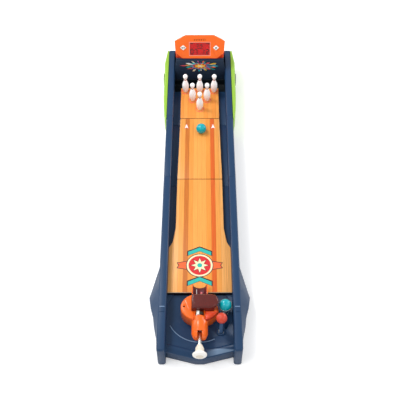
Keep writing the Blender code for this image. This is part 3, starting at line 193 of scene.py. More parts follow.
# %% Moulded plastic
def new_look(name):
    """Empty material, its node tree and its shader."""
    look = bpy.data.materials.new(name)
    look.use_nodes = True
    return look, look.node_tree, look.node_tree.nodes["Principled BSDF"]


def moulded(name, colour, roughness, mottle=0.05, relief=0.02 * mm, grain=0.9 * mm, shine=0.3, **values):
    """Injection-moulded plastic: slight flow shades, a satin grain and even gloss."""
    look, tree, shader = new_look(name)
    shader.inputs["Roughness"].default_value = roughness
    shader.inputs["IOR"].default_value = 1.54
    shader.inputs["Specular IOR Level"].default_value = shine
    for socket, value in values.items():
        shader.inputs[socket.replace("_", " ")].default_value = value
    place = add(tree, "ShaderNodeTexCoord").outputs["Object"]
    flow = add(tree, "ShaderNodeTexNoise", {"Scale": 1 / (45 * mm), "Detail": 3}, {"Vector": place})
    base = linear(colour)
    dark = [level * (1 - mottle) for level in base[:3]] + [1]
    light = [min(1, level * (1 + mottle)) for level in base[:3]] + [1]
    shade = add(tree, "ShaderNodeMix", {6: dark, 7: light}, {0: flow.outputs["Fac"]}, data_type="RGBA")
    tree.links.new(shade.outputs[2], shader.inputs["Base Color"])
    skin = add(tree, "ShaderNodeTexNoise", {"Scale": 1 / grain, "Detail": 2}, {"Vector": place})
    gloss = add(tree, "ShaderNodeMapRange", {"To Min": roughness - 0.05, "To Max": roughness + 0.07},
                {"Value": skin.outputs["Fac"]})
    tree.links.new(gloss.outputs[0], shader.inputs["Roughness"])
    bump = add(tree, "ShaderNodeBump", {"Strength": 0.5, "Distance": relief}, {"Height": skin.outputs["Fac"]})
    tree.links.new(bump.outputs[0], shader.inputs["Normal"])
    return look


# %% [markdown]
# Some mouldings get a second colour in one place: a painted highlight on the lip's
# slope, painted shade in the pit. The mesh could be cut in two there, but a copy of the
# look with a soft step in its colour leaves the piece whole. Each limit names an axis,
# where the other colour hasn't begun and where it is full.


# %% Another colour in one place
def tinted(base, name, colour, limits, source="Object"):
    """Copy of a look with another colour where all limits hold: axis, none at, full at."""
    look = base.copy()
    look.name = name
    tree = look.node_tree
    shader = tree.nodes["Principled BSDF"]
    before = shader.inputs["Base Color"].links[0].from_socket
    place = add(tree, "ShaderNodeTexCoord").outputs[source]
    axes = add(tree, "ShaderNodeSeparateXYZ", links={0: place})
    share = None
    for axis, none_at, full_at in limits:
        ramp = add(tree, "ShaderNodeMapRange", {"From Min": none_at, "From Max": full_at},
                   {"Value": axes.outputs[axis]}).outputs[0]
        if share:
            ramp = add(tree, "ShaderNodeMath", links={0: share, 1: ramp}, operation="MULTIPLY").outputs[0]
        share = ramp
    mix = add(tree, "ShaderNodeMix", {7: linear(colour)}, {0: share, 6: before}, data_type="RGBA")
    tree.links.new(mix.outputs[2], shader.inputs["Base Color"])
    return look


# %% [markdown]
# The list below names each plastic of the toy, where it is and what it shows.

# %% Plastics of the alley
# Satin navy ABS of the rails, gutters and tray: broad soft glints, no mirror image.
navy_abs = moulded("navy_abs", "1B3A5C", 0.38, shine=0.28)
# Its ribs and beads, painted pale as a highlight where their raised edges catch the light.
pale_glint_abs = moulded("pale_glint_abs", "6E88A8", 0.30, shine=0.4)
# A darker batch of it for the backboard and the hood behind the pins.
dusk_abs = moulded("dusk_abs", "263448", 0.46, shine=0.2)
# Painted highlight on the lip's sloping top at the right of the knob, where it reflects the light.
lip_highlight_abs = tinted(navy_abs, "lip_highlight_abs", "6E86A2", [
    ("X", 6 * mm, 34 * mm), ("X", 66.3 * mm, 66 * mm), ("Y", -414 * mm, -416 * mm), ("Z", 30 * mm, 31 * mm)])
# The pit behind the pins, painted near black as the shade that falls into it.
pit_shade_abs = tinted(navy_abs, "pit_shade_abs", "060F14", [("Y", 318 * mm, 319 * mm), ("Z", 42 * mm, 40 * mm)])
# The loader's lever, moulded in a lighter blue than the tray it moves in.
lever_abs = moulded("lever_abs", "4C6A92", 0.30, shine=0.5)
# Nearly black, painted shade for the strip on the step under the lane's front edge.
step_shade_abs = moulded("step_shade_abs", "0A101C", 0.55, shine=0.2)
print("plastics of the alley:", len(bpy.data.materials) - 1)

# %% Plastics of the launcher, the score unit and the loose pieces
# Bright orange ABS of the launcher and the score unit, glossier than the alley.
orange_abs = moulded("orange_abs", "F4691B", 0.24, relief=0.008 * mm, shine=0.4)
# The bezel's lower facets and its underside, painted a deeper red-orange as shade on faces that turn down.
facet_shade_abs = tinted(orange_abs, "facet_shade_abs", "E23C0A", [("Z", 0.36, 0.10)], "Normal")
# Red-orange ABS of the ribbed cap, moulded in another batch.
red_orange_abs = moulded("red_orange_abs", "EE5026", 0.22, relief=0.008 * mm, shine=0.4)
# Lime ABS of the side panels: the alley's satin grain in a bright, fresh colour.
lime_abs = moulded("lime_abs", "92BE3E", 0.38)
# Red ABS of the lever's knob, polished mould, so one clear glint.
red_abs = moulded("red_abs", "CC4630", 0.28, relief=0.006 * mm)
# White polystyrene of knob and buttons: hard, bright and smooth.
white_styrene = moulded("white_styrene", "F4F1EC", 0.28, mottle=0.02, relief=0.006 * mm)
# The striker, painted grey as the shade inside the barrel; only its hook stays white.
striker_shade_grey = "3C3C34"
striker_low_shade = tinted(white_styrene, "striker_low_shade", striker_shade_grey, [("Z", 65.0 * mm, 64.8 * mm)])
striker_painted_shade = tinted(striker_low_shade, "striker_painted_shade", striker_shade_grey, [("X", -1.0 * mm, -0.8 * mm)])
# Cream polystyrene of collars, lifter and the knob's inlay: softer than the white.
cream_styrene = moulded("cream_styrene", "E6DDCC", 0.34, mottle=0.03, relief=0.006 * mm)
# Maroon ABS of the muzzle's lining: satin and dark, so the tube looks deep.
maroon_abs = moulded("maroon_abs", "5A141E", 0.36)
# Black ABS of hub caps and buzzer: satin, so it shows as a very dark grey.
black_abs = moulded("black_abs", "14171D", 0.42)
# Teal polystyrene of the balls, tumbled to a high gloss.
teal_styrene = moulded("teal_styrene", "00A4B0", 0.14, mottle=0.04, relief=0.004 * mm, Coat_Weight=0.3,
                       Coat_Roughness=0.06)
# Vulcanised rubber of the feet: black, dull and slightly dusty.
foot_rubber = moulded("foot_rubber", "222426", 0.82, mottle=0.15, relief=0.05 * mm, grain=0.6 * mm)
print("moulded looks:", len(bpy.data.materials) - 1)

# %% [markdown]
# ## Metal, glass-like plastic, board and print
# Rods and axles are drawn steel wire with a zinc plating: bright, with fine lines
# along the wire. Cup, lens and breech cover are polycarbonate, which lets light
# through; the cover is dyed a smoky brown. The circuit boards are green FR4, and
# everything printed is a thin layer of ink on the plastic.

# %% Zinc-plated steel
# The real lines are some 0.02 mm apart; 0.3 mm is as fine as the picture shows.
wire_lines = 0.3 * mm


def plated(name, colour, roughness, along):
    """Plated wire with fine lines along one axis of the game."""
    look, tree, shader = new_look(name)
    shader.inputs["Base Color"].default_value = linear(colour)
    shader.inputs["Metallic"].default_value = 1.0
    place = add(tree, "ShaderNodeTexCoord").outputs["Object"]
    across, run = 1 / wire_lines, 1 / (12 * mm)
    scale = [run if axis == along else across for axis in "XYZ"]
    stretch = add(tree, "ShaderNodeMapping", {"Scale": scale}, {"Vector": place})
    lines = add(tree, "ShaderNodeTexNoise", {"Scale": 1.0, "Detail": 2}, {"Vector": stretch.outputs[0]})
    gloss = add(tree, "ShaderNodeMapRange", {"To Min": roughness - 0.06, "To Max": roughness + 0.10},
                {"Value": lines.outputs["Fac"]})
    tree.links.new(gloss.outputs[0], shader.inputs["Roughness"])
    return look


# Rod of the plunger: bright zinc, with lines that run towards the player.
zinc_rod = plated("zinc_rod", "D2D2CC", 0.26, "Y")
# Axles, spring and swivel screw: the same plating, a little duller and cooler.
zinc_wire = plated("zinc_wire", "C2C4C8", 0.30, "X")
# The screw in the post, painted dark as the shade in the hole that it sits in.
hole_shade_steel = plated("hole_shade_steel", "2A2A2E", 0.45, "Z")
print("lines on the wire, mm apart:", round(wire_lines / mm, 2))


# %% Clear and smoky polycarbonate
def clear_sheet(name, colour, through, roughness):
    """Polycarbonate with faint flow lines; through is the share of light that it lets pass."""
    look, tree, shader = new_look(name)
    shader.inputs["Base Color"].default_value = linear(colour)
    shader.inputs["Transmission Weight"].default_value = through
    shader.inputs["IOR"].default_value = 1.49
    shader.inputs["Specular IOR Level"].default_value = 0.3
    place = add(tree, "ShaderNodeTexCoord").outputs["Object"]
    flow = add(tree, "ShaderNodeTexNoise", {"Scale": 1 / (9 * mm), "Detail": 2}, {"Vector": place})
    gloss = add(tree, "ShaderNodeMapRange", {"To Min": roughness * 0.6, "To Max": roughness * 1.5},
                {"Value": flow.outputs["Fac"]})
    tree.links.new(gloss.outputs[0], shader.inputs["Roughness"])
    return look


# Breech cover: dyed brown, so the launcher's works show through only as shades.
smoky_sheet = clear_sheet("smoky_sheet", "74302C", 0.45, 0.16)
# Cup: nearly clear, and the waiting ball shines through it.
clear_cup = clear_sheet("clear_cup", "F2F8F8", 0.94, 0.05)
# Rim of the cup: frosted, so its edge stands out pale against the tray.
frosted_rim = clear_sheet("frosted_rim", "E4EEF0", 0.75, 0.18)
# Lens over the display: tinted red, glossy and quite clear.
window_lens = clear_sheet("window_lens", "FF8C8C", 1.0, 0.02)
for look in (smoky_sheet, clear_cup, frosted_rim, window_lens):
    passed = look.node_tree.nodes["Principled BSDF"].inputs["Transmission Weight"].default_value
    print(look.name, "lets light through:", round(passed, 2))


# %% Circuit board and cell jacket
def board_look(name, colour, trace):
    """Solder mask over copper: darker lanes where no copper lies."""
    look, tree, shader = new_look(name)
    shader.inputs["Roughness"].default_value = 0.38
    place = add(tree, "ShaderNodeTexCoord").outputs["Object"]
    lanes = add(tree, "ShaderNodeTexBrick", {
        "Color1": linear(colour), "Color2": linear(trace), "Mortar": linear("0E2A1C"), "Scale": 1 / (20 * mm),
        "Mortar Size": 0.03, "Brick Width": 0.5, "Row Height": 0.2}, {"Vector": place})
    tree.links.new(lanes.outputs["Color"], shader.inputs["Base Color"])
    return look


# Circuit boards: green lacquer over copper, which shows as lighter lanes.
solder_mask = board_look("solder_mask", "1F6A44", "2C8052")
# Cells: a printed metal jacket, half mirror and half copper-brown ink.
cell_jacket = moulded("cell_jacket", "B87832", 0.30, Metallic=0.6)
print("made:", solder_mask.name, "and", cell_jacket.name)

# %% Display
display_glow = 0.25


def display_look(name, colour, edge):
    """Red backlit film, in cloudy shades of two reds."""
    look, tree, shader = new_look(name)
    shader.inputs["Roughness"].default_value = 0.25
    shader.inputs["Specular IOR Level"].default_value = 0.1
    place = add(tree, "ShaderNodeTexCoord").outputs["Object"]
    cloud = add(tree, "ShaderNodeTexNoise", {"Scale": 1 / (14 * mm), "Detail": 1}, {"Vector": place})
    shade = add(tree, "ShaderNodeMix", {6: linear(edge), 7: linear(colour)}, {0: cloud.outputs["Fac"]},
                data_type="RGBA")
    tree.links.new(shade.outputs[2], shader.inputs["Base Color"])
    tree.links.new(shade.outputs[2], shader.inputs["Emission Color"])
    shader.inputs["Emission Strength"].default_value = display_glow
    return look


# Display: a red film with a lamp behind it, so it glows a little by itself.
red_film = display_look("red_film", "D8001C", "B40016")
print("display's own light:", display_glow)


# %% Ink
def ink(name, colour):
    """Screen-printed ink: flat, slightly uneven in thickness, satin."""
    look, tree, shader = new_look(name)
    shader.inputs["Roughness"].default_value = 0.34
    place = add(tree, "ShaderNodeTexCoord").outputs["Object"]
    cloud = add(tree, "ShaderNodeTexNoise", {"Scale": 1 / (3 * mm), "Detail": 2}, {"Vector": place})
    base = linear(colour)
    thin = [min(1, level * 1.08 + 0.01) for level in base[:3]] + [1]
    thick = [level * 0.94 for level in base[:3]] + [1]
    shade = add(tree, "ShaderNodeMix", {6: thin, 7: thick}, {0: cloud.outputs["Fac"]}, data_type="RGBA")
    tree.links.new(shade.outputs[2], shader.inputs["Base Color"])
    return look


INKS = {name: ink("ink_" + name, colour) for name, colour in {
    "outline": "2E1C22", "red": "D41E24", "cream": "F6E2B8", "orange": "F0642C", "teal": "18B4A8",
    "white": "F6F2EE", "yellow": "FFC828", "blue": "1E78C8", "cyan": "3CC8DC", "rose": "E4525A",
    "digit": "3A0008", "grey": "5A6470", "green": "1E4A3C", "lilac": "A04A8C",
}.items()}
print("inks:", len(INKS))

# %% [markdown]
# ## Printed wooden lane
# The lane is not wood. It is a white sheet with a picture of narrow boards printed
# on it, laminated on a plastic plate, so it shines evenly like film. The boards run
# along the lane. Each board takes its tone from a list that runs across the lane,
# grain is noise stretched along it, and a thin dark line parts the boards.
# The cut edge at the front shows the sheet's pale core.

# %% Boards from numbers
lane_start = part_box("lane_front")[0].y
board_width = 10.2 * mm
grain_width, grain_length = 1.6 * mm, 70 * mm
# Half of a parting line and its darkness, as shares of a board's width and of full ink.
parting, parting_ink = 0.028, 0.55
cut_edge = 0.35 * mm


def printed_boards(name, tones, boards):
    """Printed boards along Y, toned in the order of the letters, with grain stretched along them."""
    look, tree, shader = new_look(name)
    shader.inputs["Roughness"].default_value = 0.38
    shader.inputs["Specular IOR Level"].default_value = 0.25
    place = add(tree, "ShaderNodeTexCoord").outputs["Object"]
    axes = add(tree, "ShaderNodeSeparateXYZ", links={0: place})
    count = add(tree, "ShaderNodeMath", {1: 1 / board_width, 2: len(boards) / 2}, {0: axes.outputs["X"]},
                operation="MULTIPLY_ADD")
    across = add(tree, "ShaderNodeMath", {1: len(boards)}, {0: count.outputs[0]}, operation="DIVIDE")
    ramp = add(tree, "ShaderNodeValToRGB", links={0: across.outputs[0]})
    ramp.color_ramp.interpolation = "CONSTANT"
    while len(ramp.color_ramp.elements) < len(boards):
        ramp.color_ramp.elements.new(0.5)
    for step, letter in enumerate(boards):
        ramp.color_ramp.elements[step].position = step / len(boards)
        ramp.color_ramp.elements[step].color = linear(tones[letter])
    stretch = add(tree, "ShaderNodeMapping", {"Scale": (1 / grain_width, 1 / grain_length, 1)},
                  {"Vector": place})
    grain = add(tree, "ShaderNodeTexNoise", {"Scale": 1.0, "Detail": 4, "Roughness": 0.6},
                {"Vector": stretch.outputs[0]})
    depth = add(tree, "ShaderNodeMapRange", {
        "From Min": 0.3, "From Max": 0.7, "To Min": 0.80, "To Max": 1.10}, {"Value": grain.outputs["Fac"]})
    wood = add(tree, "ShaderNodeMix", {0: 1.0}, {6: ramp.outputs[0], 7: depth.outputs[0]}, data_type="RGBA",
               blend_type="MULTIPLY")
    part = add(tree, "ShaderNodeMath", {1: 0.5}, {0: count.outputs[0]}, operation="PINGPONG")
    line = add(tree, "ShaderNodeMath", {1: parting}, {0: part.outputs[0]}, operation="LESS_THAN")
    soft = add(tree, "ShaderNodeMath", {1: parting_ink}, {0: line.outputs[0]}, operation="MULTIPLY")
    parted = add(tree, "ShaderNodeMix", {7: linear("B4642A")}, {0: soft.outputs[0], 6: wood.outputs[2]},
                 data_type="RGBA")
    front = add(tree, "ShaderNodeMath", {1: lane_start + cut_edge}, {0: axes.outputs["Y"]},
                operation="LESS_THAN")
    core = add(tree, "ShaderNodeMix", {7: linear("FBE6BE")}, {0: front.outputs[0], 6: parted.outputs[2]},
               data_type="RGBA")
    tree.links.new(core.outputs[2], shader.inputs["Base Color"])
    return look


# Tones of the boards: e at the lane's edge, a lighter tone as painted light that offsets the rails' shade
# there, l light, m medium, d dark, r reddish.
TONES = {"e": "F8B266", "l": "F4A450", "m": "EE9842", "d": "CC742E", "r": "E0682A"}
DECK_TONES = {"l": "F09E4A", "m": "EC9440"}
lane_print = printed_boards("lane_print", TONES, "eeldmlllmrlee")
deck_print = printed_boards("deck_print", DECK_TONES, "llmlmmllmlmlll")
print("board width in mm:", round(board_width / mm, 1))

# %% [markdown]
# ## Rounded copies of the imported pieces
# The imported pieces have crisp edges, and no moulding has. A bevel rounds them. It
# could be a modifier on the piece itself, but a copy can be cleaned first: flat
# triangles are joined to whole faces, so that the bevel runs on without a break.
# Edges that are too short for the radius are left as they are. The dark seam where
# two lane plates meet is a line in the print, just behind the edge.


# %% Helpers for pieces
def as_object(name, shape, sharp=40):
    """Object from a mesh in the making, smooth but for its sharp edges."""
    mesh = bpy.data.meshes.new(name)
    bmesh.ops.recalc_face_normals(shape, faces=shape.faces)
    shape.to_mesh(mesh)
    shape.free()
    piece = bpy.data.objects.new(name, mesh)
    bpy.context.scene.collection.objects.link(piece)
    mesh.shade_smooth()
    mesh.set_sharp_from_angle(angle=math.radians(sharp))
    return piece


def put(piece, body, look, slot, *stands_for):
    """Dress a piece, let it ride on its body and hide the pieces that it stands for; slot is not used."""
    piece.data.materials.clear()
    piece.data.materials.append(look)
    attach(piece, body)
    if stands_for:
        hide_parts(*stands_for)
    return piece


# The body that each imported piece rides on, from the record.
BODY_OF = {node: body for body, members in frame["record"]["behaviour"]["bodies"].items() for node in members}


def softened(node, look, slot, radius=0.5 * mm, corner=30, segments=2):
    """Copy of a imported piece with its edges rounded, which takes the piece's place."""
    needed = 2.2 * radius
    shape = bmesh.new()
    shape.from_mesh(nodes[node].data)
    bmesh.ops.remove_doubles(shape, verts=shape.verts, dist=0.01 * mm)
    bmesh.ops.dissolve_limit(shape, angle_limit=math.radians(0.8), verts=shape.verts, edges=shape.edges)
    limit = math.radians(corner)
    crisp = [edge for edge in shape.edges if len(edge.link_faces) == 2 and edge.calc_face_angle() > limit]
    roomy = [edge for edge in crisp
             if all(other.calc_length() > needed for end in edge.verts for other in end.link_edges)]
    bmesh.ops.bevel(shape, geom=roomy, offset=radius, offset_type="OFFSET", segments=segments, profile=0.5,
                    affect="EDGES", clamp_overlap=True)
    piece = as_object(node + "_moulded", shape)
    print(node, "edges rounded:", len(roomy), "of", len(crisp))
    return put(piece, BODY_OF[node], look, slot, node)


# %% The alley's mouldings
# The front section carries the painted highlight on its lip, and the rear one the painted shade in its pit.
for node, look in (("front_body", lip_highlight_abs), ("middle_body", navy_abs), ("rear_body", pit_shade_abs)):
    softened(node, look, "navy_plastic", 0.7 * mm)
softened("lever_bezel", navy_abs, "navy_plastic", 0.4 * mm)
for node in ("backboard", "house_hood"):
    softened(node, dusk_abs, "navy_plastic", 0.4 * mm)
softened("lane_front", lane_print, "printed_lane", 0.3 * mm)
seam, seam_fade = 1.1 * mm, 0.4 * mm
for node, look in (("lane_middle", lane_print), ("pin_deck", deck_print)):
    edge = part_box(node)[0].y
    seamed = tinted(look, node + "_print", "5A2C14", [("Y", edge + seam + seam_fade, edge + seam)])
    softened(node, seamed, "printed_lane", 0.3 * mm)
for side in ("left", "right"):
    softened("side_panel_" + side, lime_abs, "lime_plastic", 1.0 * mm)
    softened("hub_cap_" + side, black_abs, "black_plastic", 0.6 * mm)

# %% The launcher's mouldings
softened("turret_housing", orange_abs, "orange_plastic", 0.8 * mm)
softened("turret_side_cap", red_orange_abs, "red_orange_plastic", 0.5 * mm)
softened("launcher_barrel", orange_abs, "orange_plastic", 0.4 * mm)
softened("barrel_end_cap", orange_abs, "orange_plastic", 0.6 * mm)
softened("muzzle_liner", maroon_abs, "maroon_plastic", 0.2 * mm)
softened("breech_cover", smoky_sheet, "smoky_clear", 0.4 * mm)
# The striker is painted grey as shade, all but its hook.
softened("striker", striker_painted_shade, "white_plastic", 0.3 * mm)
softened("loader_lever", lever_abs, "navy_plastic", 0.4 * mm)
softened("ball_cup", clear_cup, "clear_plastic", 0.3 * mm)

# %% The score unit's mouldings
# The bezel's down-facing faces carry painted shade.
softened("score_bezel", facet_shade_abs, "orange_plastic", 0.5 * mm)
for node in ("score_back_shell", "battery_door"):
    softened(node, orange_abs, "orange_plastic", 0.5 * mm)
for node in ("button_one_player", "button_two_players", "button_corner_left", "button_corner_right"):
    softened(node, white_styrene, "white_plastic", 0.3 * mm)
softened("buzzer", black_abs, "black_plastic", 0.4 * mm)

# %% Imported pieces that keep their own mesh
for node, look in {
    "score_lens": window_lens, "lcd_module": red_film, "score_circuit_board": solder_mask,
    "pin_sensor_board": solder_mask, "battery_left": cell_jacket, "battery_right": cell_jacket,
}.items():
    for place in nodes[node].material_slots:
        place.material = look
    print(node, "keeps its packed mesh, in", look.name)

# %% [markdown]
# ## Turned pieces
# Pins, balls, knobs, collars, rods, axles and feet are all round about one axis.
# Each is an outline of places along the axis and radii, swept round by a lathe
# function. A smooth curve through a few typed points gives the pin its waist.

# %% Lathe
# Where a point lands when the outline runs along each axis.
AXES = {
    "X": lambda a, b, along: (along, a, b),
    "Y": lambda a, b, along: (a, along, b),
    "Z": lambda a, b, along: (a, b, along),
}


def lathe_into(shape, profile, centre, axis, steps=64):
    """Turn an outline into a shape; ends with no radius become points."""
    place = AXES[axis]
    rings = []
    for along, radius in profile:
        turns = range(steps if radius > 1e-7 else 1)
        rings.append([shape.verts.new(place(
            centre[0] + radius * math.cos(2 * math.pi * turn / steps),
            centre[1] + radius * math.sin(2 * math.pi * turn / steps), along)) for turn in turns])
    for near, far in zip(rings, rings[1:]):
        for turn in range(steps):
            after = (turn + 1) % steps
            corners = [near[turn % len(near)], near[after % len(near)],
                       far[after % len(far)], far[turn % len(far)]]
            shape.faces.new(list(dict.fromkeys(corners)))
    for ring in (rings[0], rings[-1]):
        if len(ring) > 1:
            shape.faces.new(ring)


def lathe(name, profile, centre=(0, 0), axis="Z", steps=64, sharp=40):
    """Turned piece from an outline of places along the axis and radii."""
    shape = bmesh.new()
    lathe_into(shape, profile, centre, axis, steps)
    return as_object(name, shape, sharp)


def size_of(node):
    """Corners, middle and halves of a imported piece's box."""
    low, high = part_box(node)
    return low, high, (low + high) / 2, (high - low) / 2


def turned(node, ending, profile, axis, look, slot, steps=64, sharp=40):
    """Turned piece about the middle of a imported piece, whose place and body it takes."""
    middle = size_of(node)[2]
    centre = {"X": (middle.y, middle.z), "Y": (middle.x, middle.z), "Z": (middle.x, middle.y)}[axis]
    print(node, "is turned about", axis, "from", len(profile), "points")
    return put(lathe(node + ending, profile, centre, axis, steps, sharp), BODY_OF[node], look, slot, node)


def in_mm(start, points):
    """Outline along an axis from a start, with places and radii in millimetres."""
    return [(start + along * mm, radius * mm) for along, radius in points]


def smooth_line(points, fill=6):
    """Smooth curve through points; at each one it runs in line with its two neighbours."""
    ends = [points[0]] + list(points) + [points[-1]]
    line = []
    for first, start, end, last in zip(ends, ends[1:], ends[2:], ends[3:]):
        for step in range(fill):
            t = step / fill
            line.append(tuple(
                0.5 * (2 * b + (c - a) * t + (2 * a - 5 * b + 4 * c - d) * t ** 2
                       + (3 * b - a - 3 * c + d) * t ** 3)
                for a, b, c, d in zip(first, start, end, last)))
    return line + [tuple(points[-1])]


# %% [markdown]
# The pins are turned in one piece with the lug that hangs below the deck. White
# polystyrene shows a soft shade round the belly. The red line round the neck is
# printed, so it is part of the material: a band between two heights.

# %% Outline and gloss of a pin
PINS = ("front", "middle_left", "middle_right", "back_left", "back_centre", "back_right")
pin_height = 57 * mm
pin_belly = 8.6 * mm
pin_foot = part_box("pin_front")[1].z - pin_height
pin_line = smooth_line([
    (0.00, 0.50), (0.015, 0.60), (0.12, 0.82), (0.21, 0.95), (0.31, 1.00), (0.41, 0.96), (0.51, 0.80),
    (0.61, 0.56), (0.70, 0.41), (0.755, 0.43), (0.82, 0.60), (0.885, 0.69), (0.945, 0.58), (0.985, 0.32),
    (1.00, 0.0)], 4)
neck_height = pin_foot + 0.715 * pin_height
neck_line_half = 1.2 * mm

pin_gloss = moulded("pin_styrene", "FFFCFC", 0.26, mottle=0.01, relief=0.004 * mm)
tree = pin_gloss.node_tree
shader = tree.nodes["Principled BSDF"]
plain = shader.inputs["Base Color"].links[0].from_socket
place = add(tree, "ShaderNodeTexCoord").outputs["Object"]
rise = add(tree, "ShaderNodeSeparateXYZ", links={0: place})
offset = add(tree, "ShaderNodeMath", {1: neck_height}, {0: rise.outputs["Z"]}, operation="SUBTRACT")
apart = add(tree, "ShaderNodeMath", links={0: offset.outputs[0]}, operation="ABSOLUTE")
near_neck = add(tree, "ShaderNodeMath", {1: neck_line_half}, {0: apart.outputs[0]}, operation="LESS_THAN")
stripe = add(tree, "ShaderNodeMix", {7: linear("8E2A30")}, {0: near_neck.outputs[0], 6: plain},
             data_type="RGBA")
tree.links.new(stripe.outputs[2], shader.inputs["Base Color"])
print("pin height and width in mm:", round(pin_height / mm), round(2 * pin_belly / mm, 1))


# %% Pins
def box_into(shape, low, high):
    """Box from its lowest and highest corner."""
    corners = [shape.verts.new((x, y, z)) for z in (low[2], high[2]) for x, y in (
        (low[0], low[1]), (high[0], low[1]), (high[0], high[1]), (low[0], high[1]))]
    for face in ((0, 1, 2, 3), (4, 5, 6, 7), (0, 1, 5, 4), (1, 2, 6, 5), (2, 3, 7, 6), (3, 0, 4, 7)):
        shape.faces.new([corners[corner] for corner in face])


# The axle lies behind the pin's middle, so that a pin struck from the front tips back.
axle_behind = 5.8 * mm
axle_z = 37.6 * mm
lug_half = 1.5 * mm
hub = 2.4 * mm
for name in PINS:
    node = "pin_" + name
    low, high, middle, half = size_of(node)
    x, y = middle.x, low.y + pin_belly
    axle_y = y + axle_behind
    shape = bmesh.new()
    lathe_into(shape, [(pin_foot + pin_height * rise, max(0, pin_belly * share)) for rise, share in pin_line],
               (x, y), "Z")
    box_into(shape, (x - lug_half, axle_y - 1.9 * mm, low.z + 1.6 * mm),
             (x + lug_half, axle_y + 1.5 * mm, pin_foot + 1.5 * mm))
    lathe_into(shape, [(x - lug_half, hub), (x + lug_half, hub)], (axle_y, axle_z), "X", 24)
    put(as_object(node + "_turned", shape), BODY_OF[node], pin_gloss, "white_plastic", node)
print("pins:", len(PINS))

# %% [markdown]
# The balls are moulded in two halves that are welded, which leaves a hair-thin
# groove round the middle. Knobs and collars follow the outlines of the packed
# pieces with rounder curves, and the feet get a hollow in their soles.

# %% Balls
weld_groove = 0.12 * mm
half_turn_steps = 48
for node in ("lane_ball", "cup_ball"):
    low, high, middle, half = size_of(node)
    profile = []
    for step in range(half_turn_steps + 1):
        turn = math.pi * step / half_turn_steps
        groove = weld_groove if 2 * step == half_turn_steps else 0
        profile.append((middle.x - half.z * math.cos(turn), (half.z - groove) * math.sin(turn)))
    turned(node, "_gloss", profile, "X", teal_styrene, "teal_plastic", 72, 60)

# %% Pull knob
low, high, middle, half = size_of("plunger_knob")
knob_line = smooth_line([
    (0.0, 0.0), (0.01, 0.30), (0.03, 0.55), (0.10, 0.78), (0.24, 0.93), (0.44, 1.0), (0.62, 0.98),
    (0.80, 0.84), (0.93, 0.70), (1.0, 0.62)], 5)
profile = [(low.y + (high.y - low.y) * rise, max(0, half.x * share)) for rise, share in knob_line]
turned("plunger_knob", "_turned", profile, "Y", white_styrene, "white_plastic")
inlay = in_mm(low.y, [(0, 0), (0, 6.4), (0.25, 7.3), (1.6, 7.3), (1.6, 0)])
put(lathe("plunger_knob_inlay", inlay, (middle.x, middle.z), "Y"), "plunger", cream_styrene, "pale_plastic")

# %% Plunger's collar and rod
low, high, middle, half = size_of("plunger_collar")
end = (high.y - low.y) / mm
wide = half.x / mm
bore = size_of("plunger_rod")[3].x / mm + 0.3
profile = in_mm(low.y, [
    (0, 4.0), (5.3, 4.0), (5.3, wide - 0.6), (5.9, wide), (8.2, wide), (8.7, wide - 0.7), (9.3, wide - 0.7),
    (9.8, wide), (12.8, wide - 0.2), (13.8, wide - 0.9), (end - 1.2, 5.6), (end, 4.9), (end, bore),
    (end - 8.7, bore), (end - 8.7, 0)])
turned("plunger_collar", "_turned", profile, "Y", cream_styrene, "pale_plastic", 64, 30)

low, high, middle, half = size_of("plunger_rod")
chamfer = 0.5 * mm
profile = [(low.y, 0), (low.y, half.x - chamfer), (low.y + chamfer, half.x), (high.y - chamfer, half.x),
           (high.y, half.x - chamfer), (high.y, 0)]
turned("plunger_rod", "_drawn", profile, "Y", zinc_rod, "steel")

# %% Axles of the pins and pin of the lever
for node in ("pin_axle_front", "pin_axle_middle", "pin_axle_back", "lever_pin"):
    low, high, middle, half = size_of(node)
    chamfer = 0.3 * mm
    profile = [(low.x, 0), (low.x, half.z * 0.8), (low.x + chamfer, half.z), (high.x - chamfer, half.z),
               (high.x, half.z * 0.8), (high.x, 0)]
    turned(node, "_drawn", profile, "X", zinc_wire, "steel", 32)

# %% Screw under the launcher, feet and ball lifter
low, high, middle, half = size_of("turret_screw")
end = (high.z - low.z) / mm
profile = in_mm(low.z, [
    (0.9, 0), (0.9, 3.2), (0, 3.4), (0, 7.6), (0.5, 8.6), (1.4, 9.0), (2.7, 9.0), (2.7, 2.2),
    (end - 0.5, 2.2), (end, 1.6), (end, 0)])
turned("turret_screw", "_turned", profile, "Z", zinc_wire, "steel")

for node in ("foot_front_left", "foot_front_right", "foot_back_left", "foot_back_right"):
    end = size_of(node)[1].z / mm
    profile = in_mm(0, [
        (0.5, 0), (0.5, 4.2), (0.02, 4.8), (0.02, 5.8), (0.6, 6.5), (1.4, 7.0), (2.4, 7.0), (2.7, 6.7),
        (2.7, 2.0), (end - 0.4, 2.0), (end, 1.6), (end, 0)])
    turned(node, "_pad", profile, "Z", foot_rubber, "rubber", 48)

low, high, middle, half = size_of("ball_lifter")
end = (high.z - low.z) / mm
profile = in_mm(low.z, [
    (0, 0), (0, 1.5), (0.9, 4.2), (1.4, 4.2), (1.4, 3.0), (end - 1.6, 3.0), (end - 1.6, 4.7),
    (end - 1.2, 5.0), (end - 0.3, 5.0), (end, 4.7), (end, 0)])
turned("ball_lifter", "_turned", profile, "Z", cream_styrene, "pale_plastic", 48)

# %% Lever's knob and collar
lever_bore = 3.7 * mm
knob_flat = 6.0 * mm
low, high, middle, half = size_of("lever_knob")
radius = half.x
centre_z = high.z - radius
first = math.asin(knob_flat / radius)
inside = centre_z - 2.7 * mm
profile = [(inside, 0), (inside, lever_bore), (centre_z - radius * math.cos(first), lever_bore)]
for step in range(40):
    turn = first + (math.pi - first) * step / 40
    profile.append((centre_z - radius * math.cos(turn), radius * math.sin(turn)))
profile.append((high.z, 0))
turned("lever_knob", "_turned", profile, "Z", red_abs, "red_plastic", 64, 50)

